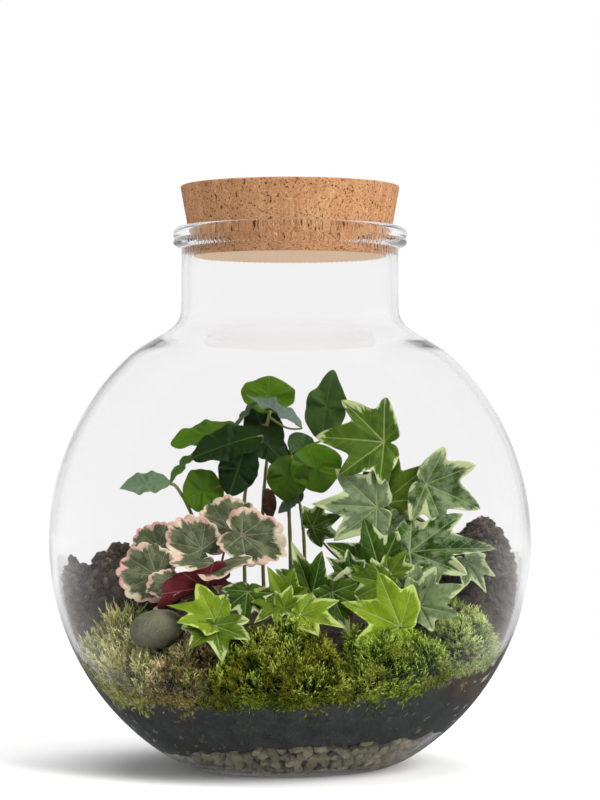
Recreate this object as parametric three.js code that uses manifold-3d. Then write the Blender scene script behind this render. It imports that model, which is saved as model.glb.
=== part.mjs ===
// A planted glass terrarium: a round jar with a wide neck and a tapered cork, filled with gravel, dark soil,
// moss cushions and a pebble, and planted with coffee seedlings, a strawberry saxifrage and variegated ivy.
// Units are millimetres and degrees. +Z is up, the origin is the middle of the jar's foot, and -Y is the front.
import * as THREE from "three";
import { mergeVertices } from "three/addons/utils/BufferGeometryUtils.js";
import Module from "manifold-3d";

const wasm = await Module();
wasm.setup();

// Driving dimensions of the jar and its cork
const BELLY_RADIUS = 120;
const BELLY_HALF_HEIGHT = 124;
const BELLY_CENTRE = 112.5;
const WALL = 3;
const FLOOR = 3.4;
const FOOT_RADIUS = 44;
const HEEL_TOP = 5;
const SHOULDER_TOP = 208;
const NECK_RADIUS = 54.2;
const NECK_BORE = 51.05;
const LIP_RADIUS = 58.5;
const JAR_HEIGHT = 269;
const CORK_BOTTOM = { radius: 48.5, z: 254 };
const CORK_TOP = { radius: 54.9, z: 289.5 };
const CORK_EDGE = 1;

// Facets round the jar. The cork, soil and gravel use the same ones, so that their walls stay parallel.
const ROUND = 36;
// The space kept between pieces that touch
const GAP = 0.35;

// Where the photograph was taken from: this far in front of the jar's middle and this high
const EYE = { distance: 1400, height: 165 };

const rad = THREE.MathUtils.degToRad;
const clamp = THREE.MathUtils.clamp;
const lerp = THREE.MathUtils.lerp;
const smooth = (x) => THREE.MathUtils.smoothstep(x, 0, 1);
const vec = (a) => new THREE.Vector3(...a);

// A point that is seen at x and z in the jar's middle plane, carried along its line of sight to depth y
function seen([x, y, z]) {
  const k = 1 + y / EYE.distance;
  return new THREE.Vector3(x * k, y, EYE.height + (z - EYE.height) * k);
}

// Straight-line interpolation in a list of [x, y] pairs
function along(pairs, x) {
  const i = clamp(pairs.filter((p) => p[0] < x).length, 1, pairs.length - 1);
  const [a, b] = [pairs[i - 1], pairs[i]];
  return lerp(a[1], b[1], clamp((x - a[0]) / (b[0] - a[0]), 0, 1));
}

// Conversions between three.js geometry and manifold solids

function solidOf(geometry) {
  const bare = geometry.clone();
  bare.deleteAttribute("normal");
  bare.deleteAttribute("uv");
  const merged = mergeVertices(bare, 1e-3);
  const vertProperties = new Float32Array(merged.attributes.position.array);
  const triVerts = new Uint32Array(merged.index.array);
  const solid = new wasm.Manifold(new wasm.Mesh({ numProp: 3, vertProperties, triVerts }));
  if (solid.volume() > 0) return solid;
  // the faces looked inwards: each triangle is turned over
  return new wasm.Manifold(new wasm.Mesh({ numProp: 3, vertProperties, triVerts: triVerts.toReversed() }));
}

function geometryOf(solid) {
  const mesh = solid.getMesh();
  const geometry = new THREE.BufferGeometry();
  geometry.setAttribute("position", new THREE.BufferAttribute(mesh.vertProperties, 3));
  geometry.setIndex(new THREE.BufferAttribute(mesh.triVerts, 1));
  geometry.computeVertexNormals();
  return geometry;
}

// The largest body of a solid: cuts can leave loose scraps, which are dropped
function whole(solid) {
  return solid.decompose().reduce((a, b) => (b.volume() > a.volume() ? b : a));
}

const fuse = (solids) => solids.reduce((a, b) => a.add(b));

// A round solid from a profile of [radius, height] points, turned about Z
function turned(profile) {
  const points = profile.map(([r, z]) => new THREE.Vector2(r, z));
  return new THREE.LatheGeometry(points, ROUND).rotateX(Math.PI / 2);
}

// A closed surface of rings between two poles. The first bands are split along the other diagonal, so that the
// top of one bed and the underside of the next have the same facets.
function ringed(firstPole, rings, lastPole, otherway = 0) {
  const count = rings[0].length;
  const points = [firstPole, ...rings.flat(), lastPole];
  const at = (i, j) => 1 + i * count + (j % count);
  const faces = [];
  for (let j = 0; j < count; j++) {
    faces.push(0, at(0, j + 1), at(0, j));
    for (let i = 0; i + 1 < rings.length; i++) {
      if (i < otherway) {
        faces.push(at(i, j), at(i, j + 1), at(i + 1, j + 1));
        faces.push(at(i, j), at(i + 1, j + 1), at(i + 1, j));
      } else {
        faces.push(at(i, j), at(i, j + 1), at(i + 1, j));
        faces.push(at(i, j + 1), at(i + 1, j + 1), at(i + 1, j));
      }
    }
    faces.push(points.length - 1, at(rings.length - 1, j), at(rings.length - 1, j + 1));
  }
  const geometry = new THREE.BufferGeometry().setFromPoints(points);
  geometry.setIndex(faces);
  return geometry;
}

// A tube with few sides along a smooth curve through points
function tube(points, radius, sides, steps) {
  const section = new THREE.Shape();
  for (let i = 0; i < sides; i++) {
    const a = (i / sides) * 2 * Math.PI;
    section[i ? "lineTo" : "moveTo"](radius * Math.cos(a), radius * Math.sin(a));
  }
  const extrudePath = new THREE.CatmullRomCurve3(points);
  return solidOf(new THREE.ExtrudeGeometry(section, { steps, extrudePath, bevelEnabled: false }));
}

// The jar: foot, belly, shoulder, neck and rolled lip outside, and the same walls inside

function bellyCurve(inset, fromZ, toZ, steps) {
  const [a, b] = [BELLY_RADIUS - inset, BELLY_HALF_HEIGHT - inset];
  const [start, end] = [fromZ, toZ].map((z) => Math.asin((z - BELLY_CENTRE) / b));
  return Array.from({ length: steps + 1 }, (_, i) => {
    const t = lerp(start, end, i / steps);
    return [a * Math.cos(t), BELLY_CENTRE + b * Math.sin(t)];
  });
}

const OUTER_WALL = [
  [0, 0],
  [FOOT_RADIUS, 0],
  [FOOT_RADIUS + 8.5, 1.6],
  ...bellyCurve(0, HEEL_TOP, SHOULDER_TOP, 9),
  [64, 215.4],
  [56.4, 221],
  [NECK_RADIUS, 227.5],
  [NECK_RADIUS, 257.5],
  [LIP_RADIUS - 1.4, 260.2],
  [LIP_RADIUS, 263.8],
  [LIP_RADIUS - 3.4, JAR_HEIGHT],
  [NECK_BORE + 1.6, JAR_HEIGHT],
];
const INNER_WALL = [
  [0, FLOOR],
  [FOOT_RADIUS, FLOOR],
  [52, 4.6],
  ...bellyCurve(WALL, HEEL_TOP + 2.8, SHOULDER_TOP - 1.5, 8),
  [61.4, 213],
  [53.2, 219.6],
  [NECK_BORE, 227.5],
  [NECK_BORE, 267],
];

const jar = solidOf(turned([...OUTER_WALL, ...INNER_WALL.toReversed()]));

// The inner wall's radius at a height, less a clearance
const BORE = INNER_WALL.slice(1).map(([r, z]) => [z, r]);
const boreAt = (z, clearance) => along(BORE, z - clearance) - clearance;

// The room inside the jar, a gap away from the glass: what lies against the wall is trimmed to it
const room = solidOf(
  turned([
    [0, FLOOR + GAP],
    [FOOT_RADIUS - GAP, FLOOR + GAP],
    ...INNER_WALL.slice(2).map(([r, z]) => [r - GAP, z + GAP]),
    [0, 267 + GAP],
  ]),
);

// The cork, a plain taper with a small chamfer at both edges

const cork = solidOf(
  turned([
    [0, CORK_BOTTOM.z],
    [CORK_BOTTOM.radius - CORK_EDGE, CORK_BOTTOM.z],
    [CORK_BOTTOM.radius, CORK_BOTTOM.z + CORK_EDGE],
    [CORK_TOP.radius, CORK_TOP.z - CORK_EDGE],
    [CORK_TOP.radius - CORK_EDGE, CORK_TOP.z],
    [0, CORK_TOP.z],
  ]),
);

// Ground levels

// The gravel's top by x, and the soil's height where it meets the glass by bearing: 0 is the front, 90 the right
const GRAVEL_TOP = [
  [-70, 7.5],
  [-45, 13.5],
  [-20, 17.5],
  [0, 18.5],
  [45, 20],
  [75, 22],
];
const SOIL_EDGE = [
  [-180, 82],
  [-130, 86],
  [-100, 97],
  [-88, 90],
  [-76, 52],
  [-62, 40],
  [0, 41],
  [35, 45],
  [50, 52],
  [72, 57],
  [84, 80],
  [97, 93],
  [130, 86],
  [180, 82],
];
// The soil bed rises from the front to the back, and is banked up at the left and right
const BED = { middle: 65, slope: 0.15 };
const BANKS = [
  { x: -87, y: 18, rise: 40, across: 22, deep: 42 },
  { x: 98, y: 14, rise: 66, across: 25, deep: 42 },
];
const EDGE_BAND = 26;
const CRUMB = 1.6;

const bearing = (x, y) => THREE.MathUtils.radToDeg(Math.atan2(x, -y));
const crumbs = (x, y) => CRUMB * Math.sin(x * 0.43 + 2 * Math.sin(y * 0.21)) * Math.sin(y * 0.37 + x * 0.13);

const gravelLevel = (x) => along(GRAVEL_TOP, x) + 0.8 * Math.sin(x * 0.4);

function soilLevel(x, y) {
  const banks = BANKS.map((b) => b.rise * Math.exp(-(((x - b.x) / b.across) ** 2) - ((y - b.y) / b.deep) ** 2));
  const inner = BED.middle + BED.slope * y + banks[0] + banks[1] + crumbs(x, y);
  const edge = along(SOIL_EDGE, bearing(x, y)) + crumbs(y, x);
  const rim = boreAt(edge, GAP);
  return lerp(inner, edge, smooth((Math.hypot(x, y) - (rim - EDGE_BAND)) / EDGE_BAND));
}

// A bed that fills the jar between two levels, with its wall a gap away from the glass and dented here and there.
// With an overhang the wall stands out past the glass, for a body that only trims others.
function filling({ bottom, top, dent, lift = 0, overhang = 0, bottomRings, wallRings, topRings }) {
  const angles = Array.from({ length: ROUND }, (_, j) => (j / ROUND) * 2 * Math.PI);
  const point = (a, r, z) => new THREE.Vector3(r * Math.sin(a), -r * Math.cos(a), z);
  const levelAt = (level, a, r) => level(r * Math.sin(a), -r * Math.cos(a));
  // the radius at which a level meets the wall, found by stepping towards it
  const meet = (a, level) => {
    let r = 80;
    for (let k = 0; k < 16; k++) r = boreAt(levelAt(level, a, r), GAP);
    return r;
  };
  const flat = (level, share, higher = 0) =>
    angles.map((a) => {
      const r = share * meet(a, level);
      return point(a, r, levelAt(level, a, r) + higher);
    });
  const wall = (share) =>
    angles.map((a, j) => {
      const [low, high] = [bottom, top].map((level) => levelAt(level, a, meet(a, level)));
      const z = lerp(low, high + lift, share);
      const inward = share > 0 && share < 1 ? dent * Math.abs(Math.sin(j * 2.4 + share * 9)) : 0;
      return point(a, boreAt(z, GAP) - inward + overhang, z);
    });
  const rings = [
    ...bottomRings.map((s) => flat(bottom, s)),
    ...Array.from({ length: wallRings + 1 }, (_, i) => wall(i / wallRings)),
    ...(overhang ? [1, ...topRings] : topRings).map((s) => flat(top, s, lift)),
  ];
  const poles = [bottom(0, 0), top(0, 0) + lift].map((z) => new THREE.Vector3(0, 0, z));
  return solidOf(ringed(poles[0], rings, poles[1], bottomRings.length));
}

const raised = (level, by) => (x, y) => level(x, y) + by;

// Gravel on the jar's floor, its wall pitted like the stones that show through the glass
const gravel = filling({
  bottom: () => FLOOR + GAP,
  top: gravelLevel,
  dent: 2.6,
  bottomRings: [0.5],
  wallRings: 4,
  topRings: [0.5],
});

const soilBody = {
  bottom: raised(gravelLevel, GAP),
  dent: 0.9,
  bottomRings: [0.5],
  wallRings: 4,
  topRings: [0.93, 0.85, 0.75, 0.62, 0.45, 0.25],
};
const soil = filling({ ...soilBody, top: soilLevel });
// The same body a little higher and wider, which trims whatever lies on the soil
const overSoil = filling({ ...soilBody, top: soilLevel, lift: 0.5, overhang: 4 });

// Repeatable random numbers from 0 to 1
function random(seed) {
  let state = seed;
  return () => {
    state = (state * 1664525 + 1013904223) % 4294967296;
    return state / 4294967296;
  };
}

// An uneven lump: a ball with few faces, its points pushed in and out, stretched to three half widths
function lump(middle, halves, detail, unevenness, draw) {
  const ball = new THREE.IcosahedronGeometry(1, detail).deleteAttribute("uv").deleteAttribute("normal");
  const skin = mergeVertices(ball, 1e-3);
  const p = skin.attributes.position;
  for (let i = 0; i < p.count; i++) {
    const swell = 1 + unevenness * (draw() - 0.5);
    p.setXYZ(i, p.getX(i) * swell, p.getY(i) * swell, p.getZ(i) * swell);
  }
  skin.scale(...halves).rotateZ(draw() * Math.PI).translate(...middle);
  return solidOf(skin);
}

// The river pebble on the moss at the left
const PEBBLE = { middle: [-63, -52, 72], halves: [13.5, 10, 9.5] };
const pebbleOf = (grow) => {
  const ball = new THREE.IcosahedronGeometry(1, 1).scale(...PEBBLE.halves.map((h) => h + grow));
  return solidOf(ball.rotateY(rad(-8)).translate(...PEBBLE.middle));
};

// Moss cushions along the front glass, each a run of tufts between two bearings and some rows deep
const TUFT = 12;
const MOSS_TOP = 64;
const CUSHIONS = [
  { name: "moss_left_tuft", from: -77, to: -47, rise: 7, rows: [3, 12, 21], color: 0x8f9a4e },
  { name: "moss_dry_patch", from: -45.5, to: -27.5, rise: 4, rows: [3, 12, 20], color: 0x9a8350 },
  { name: "moss_middle_cushion", from: -26, to: 17, rise: 8, rows: [4, 13, 22, 30], color: 0x7f8a22 },
  { name: "moss_right_cushion", from: 18.5, to: 49, rise: 8, rows: [4, 13, 22], color: 0x76851f },
  { name: "moss_light_cushion", from: 50.5, to: 74, rise: 8, rows: [4, 13, 21], color: 0x9bb04a },
];

function sector(from, to) {
  const corner = (a, r) => [r * Math.sin(rad(a)), -r * Math.cos(rad(a))];
  const middle = (from + to) / 2;
  const outline = new THREE.Shape([corner(middle, 12), corner(to, 170), corner(middle, 230), corner(from, 170)].map(
    ([x, y]) => new THREE.Vector2(x, y),
  ));
  return solidOf(new THREE.ExtrudeGeometry(outline, { depth: 200, bevelEnabled: false }));
}

function cushion({ from, to, rise, rows }, hollows, draw) {
  const tufts = [];
  for (const back of rows) {
    const count = Math.round(((to - from) * (95 - back)) / 57 / (TUFT * 1.15));
    for (let i = 0; i < count; i++) {
      const a = rad(lerp(from, to, (i + 0.5) / count));
      const rim = boreAt(along(SOIL_EDGE, THREE.MathUtils.radToDeg(a)) + 6, GAP);
      const [x, y] = [(rim - back) * Math.sin(a), -(rim - back) * Math.cos(a)];
      const size = TUFT * (0.95 + 0.25 * draw());
      const z = Math.min(soilLevel(x, y), MOSS_TOP) + rise * (0.75 + 0.3 * draw());
      tufts.push(lump([x, y, z], [size, size, size * 0.9], 0, 0.3, draw));
    }
  }
  const trimmed = fuse(tufts).subtract(overSoil).subtract(pebbleOf(GAP)).intersect(room);
  return whole(hollows.reduce((body, hollow) => body.subtract(hollow), trimmed.intersect(sector(from, to))));
}

// Leaves. A blade's outline is a list of [bearing from the tip, share of the length], alike on both halves,
// measured from the point where the veins meet; that point is the leaf stalk's joint, or lies a share ahead of it.

const mirrored = (half) => [...half, ...half.slice(1, -1).toReversed().map(([a, r]) => [360 - a, r])];

const ellipse = (slim, sides) =>
  Array.from({ length: sides }, (_, i) => {
    const a = (i / sides) * 2 * Math.PI;
    const ripple = 1 + 0.05 * (i % 2);
    return [(i / sides) * 360, (0.5 * slim * ripple) / Math.hypot(slim * Math.cos(a), Math.sin(a))];
  });

const IVY = {
  ahead: 0,
  waves: 0.03,
  outline: mirrored([
    [0, 1],
    [16, 0.61],
    [33, 0.76],
    [41, 0.87],
    [52, 0.66],
    [65, 0.53],
    [86, 0.64],
    [116, 0.38],
    [180, 0.09],
  ]),
};
const SAXIFRAGE = {
  ahead: 0,
  waves: 0.07,
  outline: mirrored([
    [0, 1],
    [25, 0.93],
    [50, 0.98],
    [76, 0.85],
    [102, 0.79],
    [130, 0.65],
    [157, 0.4],
    [180, 0.1],
  ]),
};
const COFFEE = { ahead: 0.5, waves: 0.035, outline: ellipse(0.52, 10) };
const ROUND_COFFEE = { ahead: 0.5, waves: 0.05, outline: ellipse(0.85, 10) };
const BLADE = 0.7;

// joint and tip are seen points; facing is where the upper side looks; fold lifts the sides, droop bends the tip
function blade(kind, { joint, tip, facing, wide = 1, fold = 0.15, droop = 0.12 }, grow) {
  const start = seen(joint);
  const ahead = seen(tip).sub(start);
  const length = ahead.length();
  ahead.normalize();
  const up = vec(facing).addScaledVector(ahead, -vec(facing).dot(ahead)).normalize();
  const side = new THREE.Vector3().crossVectors(up, ahead);
  const place = (share, [degrees, reach], lift) => {
    const a = rad(degrees);
    const u = kind.ahead * length + share * reach * length * Math.cos(a);
    const v = share * reach * length * Math.sin(a) * wide;
    const away = Math.min(1, Math.hypot(u, v) / (0.5 * length));
    const wave = kind.waves * length * share * away * Math.sin(5 * a + length);
    const h = fold * Math.abs(v) - (droop * u * u) / length + wave + lift;
    return start.clone().addScaledVector(ahead, u).addScaledVector(side, v).addScaledVector(up, h);
  };
  const ring = (share, lift) => kind.outline.map((row) => place(share, row, lift));
  const [top, under] = [BLADE / 2 + grow, -BLADE / 2 - grow];
  const [rim, inner] = [1 + (1.5 * grow) / length, length > 31 ? [0.55] : []];
  const rings = [
    ...inner.map((share) => ring(share, top)),
    ring(rim, top),
    ring(rim, under),
    ...inner.map((share) => ring(share, under)),
  ];
  return solidOf(ringed(place(0, [0, 0], top), rings, place(0, [0, 0], under)));
}

// A leafy stem: a stem through its points, and leaves whose stalks leave it at a share of its length.
// Grown a little, it is the hollow that the leaves press into the moss.
function leafyStem({ kind, stem, radius, stalk, leaves }, grow = 0) {
  const curve = new THREE.CatmullRomCurve3(stem.map(seen));
  const parts = [tube(curve.getPoints(stem.length * 2), radius + grow, 5, stem.length + 1)];
  for (const leaf of leaves) {
    const start = curve.getPoint(leaf.at);
    const joint = seen(leaf.joint);
    const onward = seen(leaf.tip).sub(joint).normalize();
    const end = joint.clone().addScaledVector(onward, (leaf.kind ?? kind).ahead ? 4 : 0.8);
    const middle = start.clone().lerp(joint, 0.6);
    middle.addScaledVector(vec(leaf.facing).normalize(), -0.15 * start.distanceTo(joint));
    parts.push(blade(leaf.kind ?? kind, leaf, grow));
    const path = start.distanceTo(joint) > 3 ? [start, middle, joint, end] : [start, end];
    parts.push(tube(path, stalk + grow, 3, path.length - 1));
  }
  return whole(fuse(parts));
}

// The hole that a stem stands in
function stemHole({ stem, radius }) {
  const curve = new THREE.CatmullRomCurve3(stem.map(seen));
  const points = curve.getPoints(40).filter((p) => p.z < soilLevel(p.x, p.y) + 6);
  points[0].addScaledVector(points[1].clone().sub(points[0]).normalize(), -GAP * 2);
  return tube(points, radius * 1.25 + GAP, 6, 4);
}

// The plants. Points are as seen: x and z are those of the jar's middle plane on the same line of sight, y is the
// depth. Each leaf has its stalk's joint, its tip, where its upper side faces, and where its stalk leaves the stem.

const IVY_TALL = {
  kind: IVY,
  stem: [[44, 8, 54], [46, 8, 84], [48, 6, 110], [49, 4, 122], [48, 3, 133], [47.5, 2, 148], [46.5, 1, 160]],
  radius: 1.1,
  stalk: 0.7,
  leaves: [
    { at: 1, joint: [47, 0, 161.5], tip: [13.5, -7, 165], facing: [0.1, -1, 0.25], fold: 0.1 },
    { at: 0.62, joint: [43.5, -4, 129], tip: [11.5, -12, 131], facing: [0, -1, 0.2], wide: 0.95 },
    { at: 0.72, joint: [47.5, 0, 132], tip: [71, -3, 152], facing: [-0.1, -1, 0.1], wide: 0.9 },
    { at: 0.66, joint: [68, -4, 140.5], tip: [95, -10, 129], facing: [0.1, -1, 0.15], wide: 1.1 },
    { at: 0.58, joint: [50, -4, 121], tip: [64, -10, 106], facing: [0.1, -1, 0.4], wide: 1.15 },
  ],
};
const IVY_RIGHT = {
  kind: IVY,
  stem: [[56, -14, 52], [55, -16, 76], [57, -18, 94], [59, -20, 104]],
  radius: 1.1,
  stalk: 0.7,
  leaves: [
    { at: 1, joint: [60, -20, 106.5], tip: [102, -26, 112], facing: [0, -0.8, 0.7], wide: 0.8, fold: 0.1 },
    { at: 0.85, joint: [88, -16, 101.5], tip: [98, -27, 87], facing: [0.3, -1, 0.3], wide: 0.8 },
    { at: 0.3, joint: [62.5, -44, 83.5], tip: [77, -44, 99], facing: [-0.2, -1, 0.3] },
    { at: 0.25, joint: [64.5, -50, 80], tip: [86, -53, 91], facing: [0.1, -1, 0.5] },
  ],
};
const IVY_MIDDLE = {
  kind: IVY,
  stem: [[30, -12, 52], [31, -12, 78], [36, -13, 90], [42, -16, 97]],
  radius: 1.1,
  stalk: 0.7,
  leaves: [
    { at: 1, joint: [45, -27, 97.5], tip: [19, -30, 112], facing: [0, -1, 0.3], wide: 1.1 },
    { at: 0.6, joint: [31, -31, 94], tip: [18.5, -32, 104.5], facing: [0, -1, 0.3] },
    { at: 0.8, joint: [48, -43, 91], tip: [28, -49, 82.5], facing: [0, -1, 0.8] },
    { at: 0.9, joint: [49.5, -33, 95], tip: [66, -36, 100.5], facing: [0, -1, 0.7] },
    { at: 0.7, joint: [42.5, -38, 90], tip: [31, -40, 101], facing: [0, -1, 0.3] },
    { at: 0.35, joint: [55, -64, 69.5], tip: [27.5, -72, 83], facing: [0, -1, 0.5], wide: 1.1 },
    { at: 0.3, joint: [21, -50, 86.5], tip: [30, -61, 66], facing: [0, -1, 0.25], wide: 0.85 },
    { at: 0.45, joint: [5, -64, 75], tip: [27.5, -73, 71.5], facing: [0, -0.8, 1] },
    { at: 0.75, joint: [11, 6, 119], tip: [26.5, 2, 126], facing: [0.2, -1, 0.2] },
  ],
};
const IVY_LEFT = {
  kind: IVY,
  stem: [[0, -18, 52], [1, -20, 74], [3, -26, 82]],
  radius: 1.1,
  stalk: 0.7,
  leaves: [
    { at: 1, joint: [11, -36, 85], tip: [1, -40, 112], facing: [0, -1, 0.2], wide: 0.75 },
    { at: 1, joint: [-2, -44, 82], tip: [-11, -46, 99.5], facing: [0, -1, 0.2] },
    { at: 0.8, joint: [-3, -53, 78], tip: [9.5, -54, 86], facing: [0, -1, 0.4] },
    { at: 0.7, joint: [-21, -45, 87], tip: [-23, -55, 69], facing: [0, -1, 0.3] },
    { at: 0.7, joint: [-4, -50, 80.5], tip: [-18, -58, 73], facing: [0, -0.8, 1] },
    { at: 0.75, joint: [-37, -60, 72], tip: [-60, -60, 83], facing: [0.1, -0.7, 1], wide: 1.1, fold: 0.25 },
    { at: 0.6, joint: [-37, -65, 70], tip: [-33, -83, 54], facing: [0.1, -1, 0.35], wide: 1.1 },
  ],
};
const STRAWBERRY_SAXIFRAGE = {
  kind: SAXIFRAGE,
  stem: [[-42, -16, 54], [-42, -17, 70], [-41, -18, 80]],
  radius: 2,
  stalk: 0.8,
  leaves: [
    { at: 1, joint: [-30.5, -6, 118], tip: [-31, 4, 135.5], facing: [0, -1, 0.6], wide: 0.85 },
    { at: 1, joint: [-44, -16, 108], tip: [-60, -20, 121], facing: [0.2, -1, 0.4], wide: 0.75 },
    { at: 1, joint: [-24, -15, 115], tip: [-1, -19, 108], facing: [0, -1, 0.5], wide: 0.85 },
    { at: 0.9, joint: [-66, -30, 95], tip: [-86, -34, 97], facing: [-0.1, -1, 0.4], wide: 0.9 },
    { at: 0.95, joint: [-38, -28, 101], tip: [-42, -50, 96], facing: [0, -0.35, 1], wide: 1.05 },
    { at: 0.9, joint: [-66, -4, 109], tip: [-76, -2, 118], facing: [0, -1, 0.5] },
    { at: 0.85, joint: [-60, -42, 91], tip: [-71, -46, 88], facing: [0, -1, 0.6], wide: 0.8 },
    { at: 0.85, joint: [-40, -38, 91], tip: [-67, -46, 81], facing: [0, 0.5, 0.9], wide: 0.6, fold: 0.4 },
    { at: 0.8, joint: [-38, -31, 85.5], tip: [-51, -46, 84], facing: [0, -0.2, 1], wide: 0.85 },
  ],
};
const COFFEE_LEFT = {
  kind: COFFEE,
  stem: [[-30, 26, 56], [-37, 24, 85], [-48, 22, 122], [-56, 20, 138], [-60, 20, 141]],
  radius: 1,
  stalk: 0.7,
  leaves: [
    { at: 1, joint: [-60, 19, 141.5], tip: [-84.5, 16, 141], facing: [0, -0.7, 1], wide: 0.9 },
    { at: 1, joint: [-60, 20, 142], tip: [-48, 22, 159], facing: [-1, -0.8, 0.6], wide: 0.75 },
  ],
};
const COFFEE_MIDDLE = {
  kind: COFFEE,
  stem: [[-22, 30, 56], [-23, 30, 112], [-22, 31, 140], [-14, 32, 160], [-10, 33, 178]],
  radius: 1,
  stalk: 0.7,
  leaves: [
    { at: 0.98, joint: [-12, 34, 176], tip: [-10, 40, 195], facing: [0, -1, 0.5], wide: 1.6, kind: ROUND_COFFEE },
    { at: 0.95, joint: [6, 24, 169], tip: [-20, 22, 187], facing: [0.4, -0.5, 1], wide: 0.6, fold: 0.5 },
    { at: 0.9, joint: [-28, 28, 169], tip: [-18, 26, 183], facing: [-0.8, -0.6, 0.6], wide: 0.6 },
    { at: 0.75, joint: [-25, 26, 168], tip: [-59, 22, 164], facing: [0, -0.8, 0.7], wide: 0.9 },
    { at: 0.7, joint: [-14, 18, 165], tip: [-48, 12, 157], facing: [0, -0.9, 0.6], wide: 1.1 },
    { at: 0.7, joint: [-22, 16, 160], tip: [-30, 10, 136], facing: [0.1, -1, 0.1], wide: 1.5 },
    { at: 0.55, joint: [-34, 18, 140], tip: [-53, 13, 134], facing: [0, -1, 0.4], wide: 1.4, kind: ROUND_COFFEE },
    { at: 0.8, joint: [-20, 24, 168], tip: [-3, 22, 157], facing: [0, -0.8, 0.7] },
  ],
};
const COFFEE_RIGHT = {
  kind: COFFEE,
  stem: [[1, 30, 56], [0, 30, 110], [-1, 30, 140], [0, 31, 158]],
  radius: 1,
  stalk: 0.7,
  leaves: [
    { at: 1, joint: [16, 34, 163], tip: [20, 36, 196], facing: [-0.3, -1, 0.2], wide: 1.15 },
    { at: 0.9, joint: [3, 20, 154], tip: [-4, 16, 133], facing: [0, -1, 0.3], wide: 1.2 },
    { at: 0.95, joint: [9, 24, 160], tip: [17, 18, 138], facing: [0.2, -1, 0.2], wide: 1.3, kind: ROUND_COFFEE },
    { at: 0.8, joint: [4, 26, 134], tip: [-6, 24, 127], facing: [0, -1, 0.8] },
    { at: 1, joint: [2, 27, 163], tip: [13, 25, 153], facing: [0, -1, 0.3] },
  ],
};
const COFFEE_BACK = {
  kind: COFFEE,
  stem: [[-12, 40, 56], [-14, 40, 116], [-12, 40, 150], [-10, 40, 162]],
  radius: 1,
  stalk: 0.7,
  leaves: [
    { at: 0.95, joint: [-8, 39, 157], tip: [-19, 35, 181], facing: [0, -1, 0.2], wide: 1.4 },
    { at: 0.5, joint: [-11, 38, 138], tip: [-10, 36, 124], facing: [0, -1, 0.1] },
  ],
};
const COFFEE_BARE = {
  kind: COFFEE,
  stem: [[8, 36, 56], [7, 36, 110], [5, 36, 130]],
  radius: 1,
  stalk: 0.7,
  leaves: [{ at: 1, joint: [4.5, 36, 131], tip: [2, 30, 142], facing: [0, -1, 0.5] }],
};

const PLANTS = [
  { name: "coffee_seedling_left", plant: COFFEE_LEFT, color: 0x4f7a2c },
  { name: "coffee_seedling_middle", plant: COFFEE_MIDDLE, color: 0x2f5a0c },
  { name: "coffee_seedling_right", plant: COFFEE_RIGHT, color: 0x3f6512 },
  { name: "coffee_seedling_back", plant: COFFEE_BACK, color: 0x1d3a0a },
  { name: "coffee_seedling_small", plant: COFFEE_BARE, color: 0x557a2a },
  { name: "strawberry_saxifrage", plant: STRAWBERRY_SAXIFRAGE, color: 0x8a947c },
  { name: "ivy_tall_stem", plant: IVY_TALL, color: 0x6a8a4c },
  { name: "ivy_right_stem", plant: IVY_RIGHT, color: 0x6f8866 },
  { name: "ivy_middle_stem", plant: IVY_MIDDLE, color: 0x7c9a34 },
  { name: "ivy_left_stem", plant: IVY_LEFT, color: 0x86a82c },
];

// The scene graph

const terrarium = new THREE.Group();

function add(name, solid, color, roughness, extra = {}) {
  const material = new THREE.MeshStandardMaterial({ color, roughness, metalness: 0, ...extra });
  const mesh = new THREE.Mesh(geometryOf(solid), material);
  mesh.name = name;
  terrarium.add(mesh);
}

const draw = random(11);
const holes = PLANTS.map(({ plant }) => stemHole(plant));
const hollows = PLANTS.filter((row) => row.name.startsWith("ivy")).map(({ plant }) => leafyStem(plant, GAP));

add("glass_jar", jar, 0xf1f3f2, 0.05, { transparent: true, opacity: 0.25 });
add("cork_stopper", cork, 0xc9905a, 0.85);
add("gravel_bed", gravel, 0x8f8a7a, 0.9);
add("soil_bed", whole(holes.reduce((body, hole) => body.subtract(hole), soil)), 0x3b342f, 1);
add("river_pebble", pebbleOf(0), 0x77776f, 0.7);
for (const row of CUSHIONS) {
  add(row.name, cushion(row, hollows, draw), row.color, 1);
}
for (const { name, plant, color } of PLANTS) {
  add(name, leafyStem(plant), color, 0.5);
}

export default terrarium;
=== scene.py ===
"""A planted glass terrarium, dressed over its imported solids: a blown jar with a knurled lip, a pressed cork,
gravel, soil, moss, a river pebble, coffee seedlings, a strawberry saxifrage and variegated ivy.

Shapes are worked out with numpy in millimetres and put into the meshes in metres. +Z is up, the origin is the
middle of the jar's foot and -Y is the front. The lists of leaves and levels are those of the part's source.
"""

import functools
import itertools

import bpy
import numpy as np
from mathutils import Euler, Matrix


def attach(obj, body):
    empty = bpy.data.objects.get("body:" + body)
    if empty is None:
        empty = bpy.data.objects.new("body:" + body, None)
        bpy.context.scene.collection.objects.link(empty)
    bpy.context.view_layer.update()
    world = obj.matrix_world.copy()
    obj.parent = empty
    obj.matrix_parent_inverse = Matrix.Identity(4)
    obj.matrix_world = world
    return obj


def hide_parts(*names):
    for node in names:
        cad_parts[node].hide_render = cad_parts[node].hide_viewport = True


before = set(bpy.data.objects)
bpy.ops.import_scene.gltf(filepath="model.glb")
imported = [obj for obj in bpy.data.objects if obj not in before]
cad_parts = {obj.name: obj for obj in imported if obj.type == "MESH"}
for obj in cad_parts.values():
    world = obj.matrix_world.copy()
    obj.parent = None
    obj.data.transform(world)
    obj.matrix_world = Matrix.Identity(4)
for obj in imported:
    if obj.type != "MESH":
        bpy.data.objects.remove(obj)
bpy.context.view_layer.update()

MM = 0.001
UP = np.array([0.0, 0.0, 1.0])
GOLDEN_ANGLE = 2.39996


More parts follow.
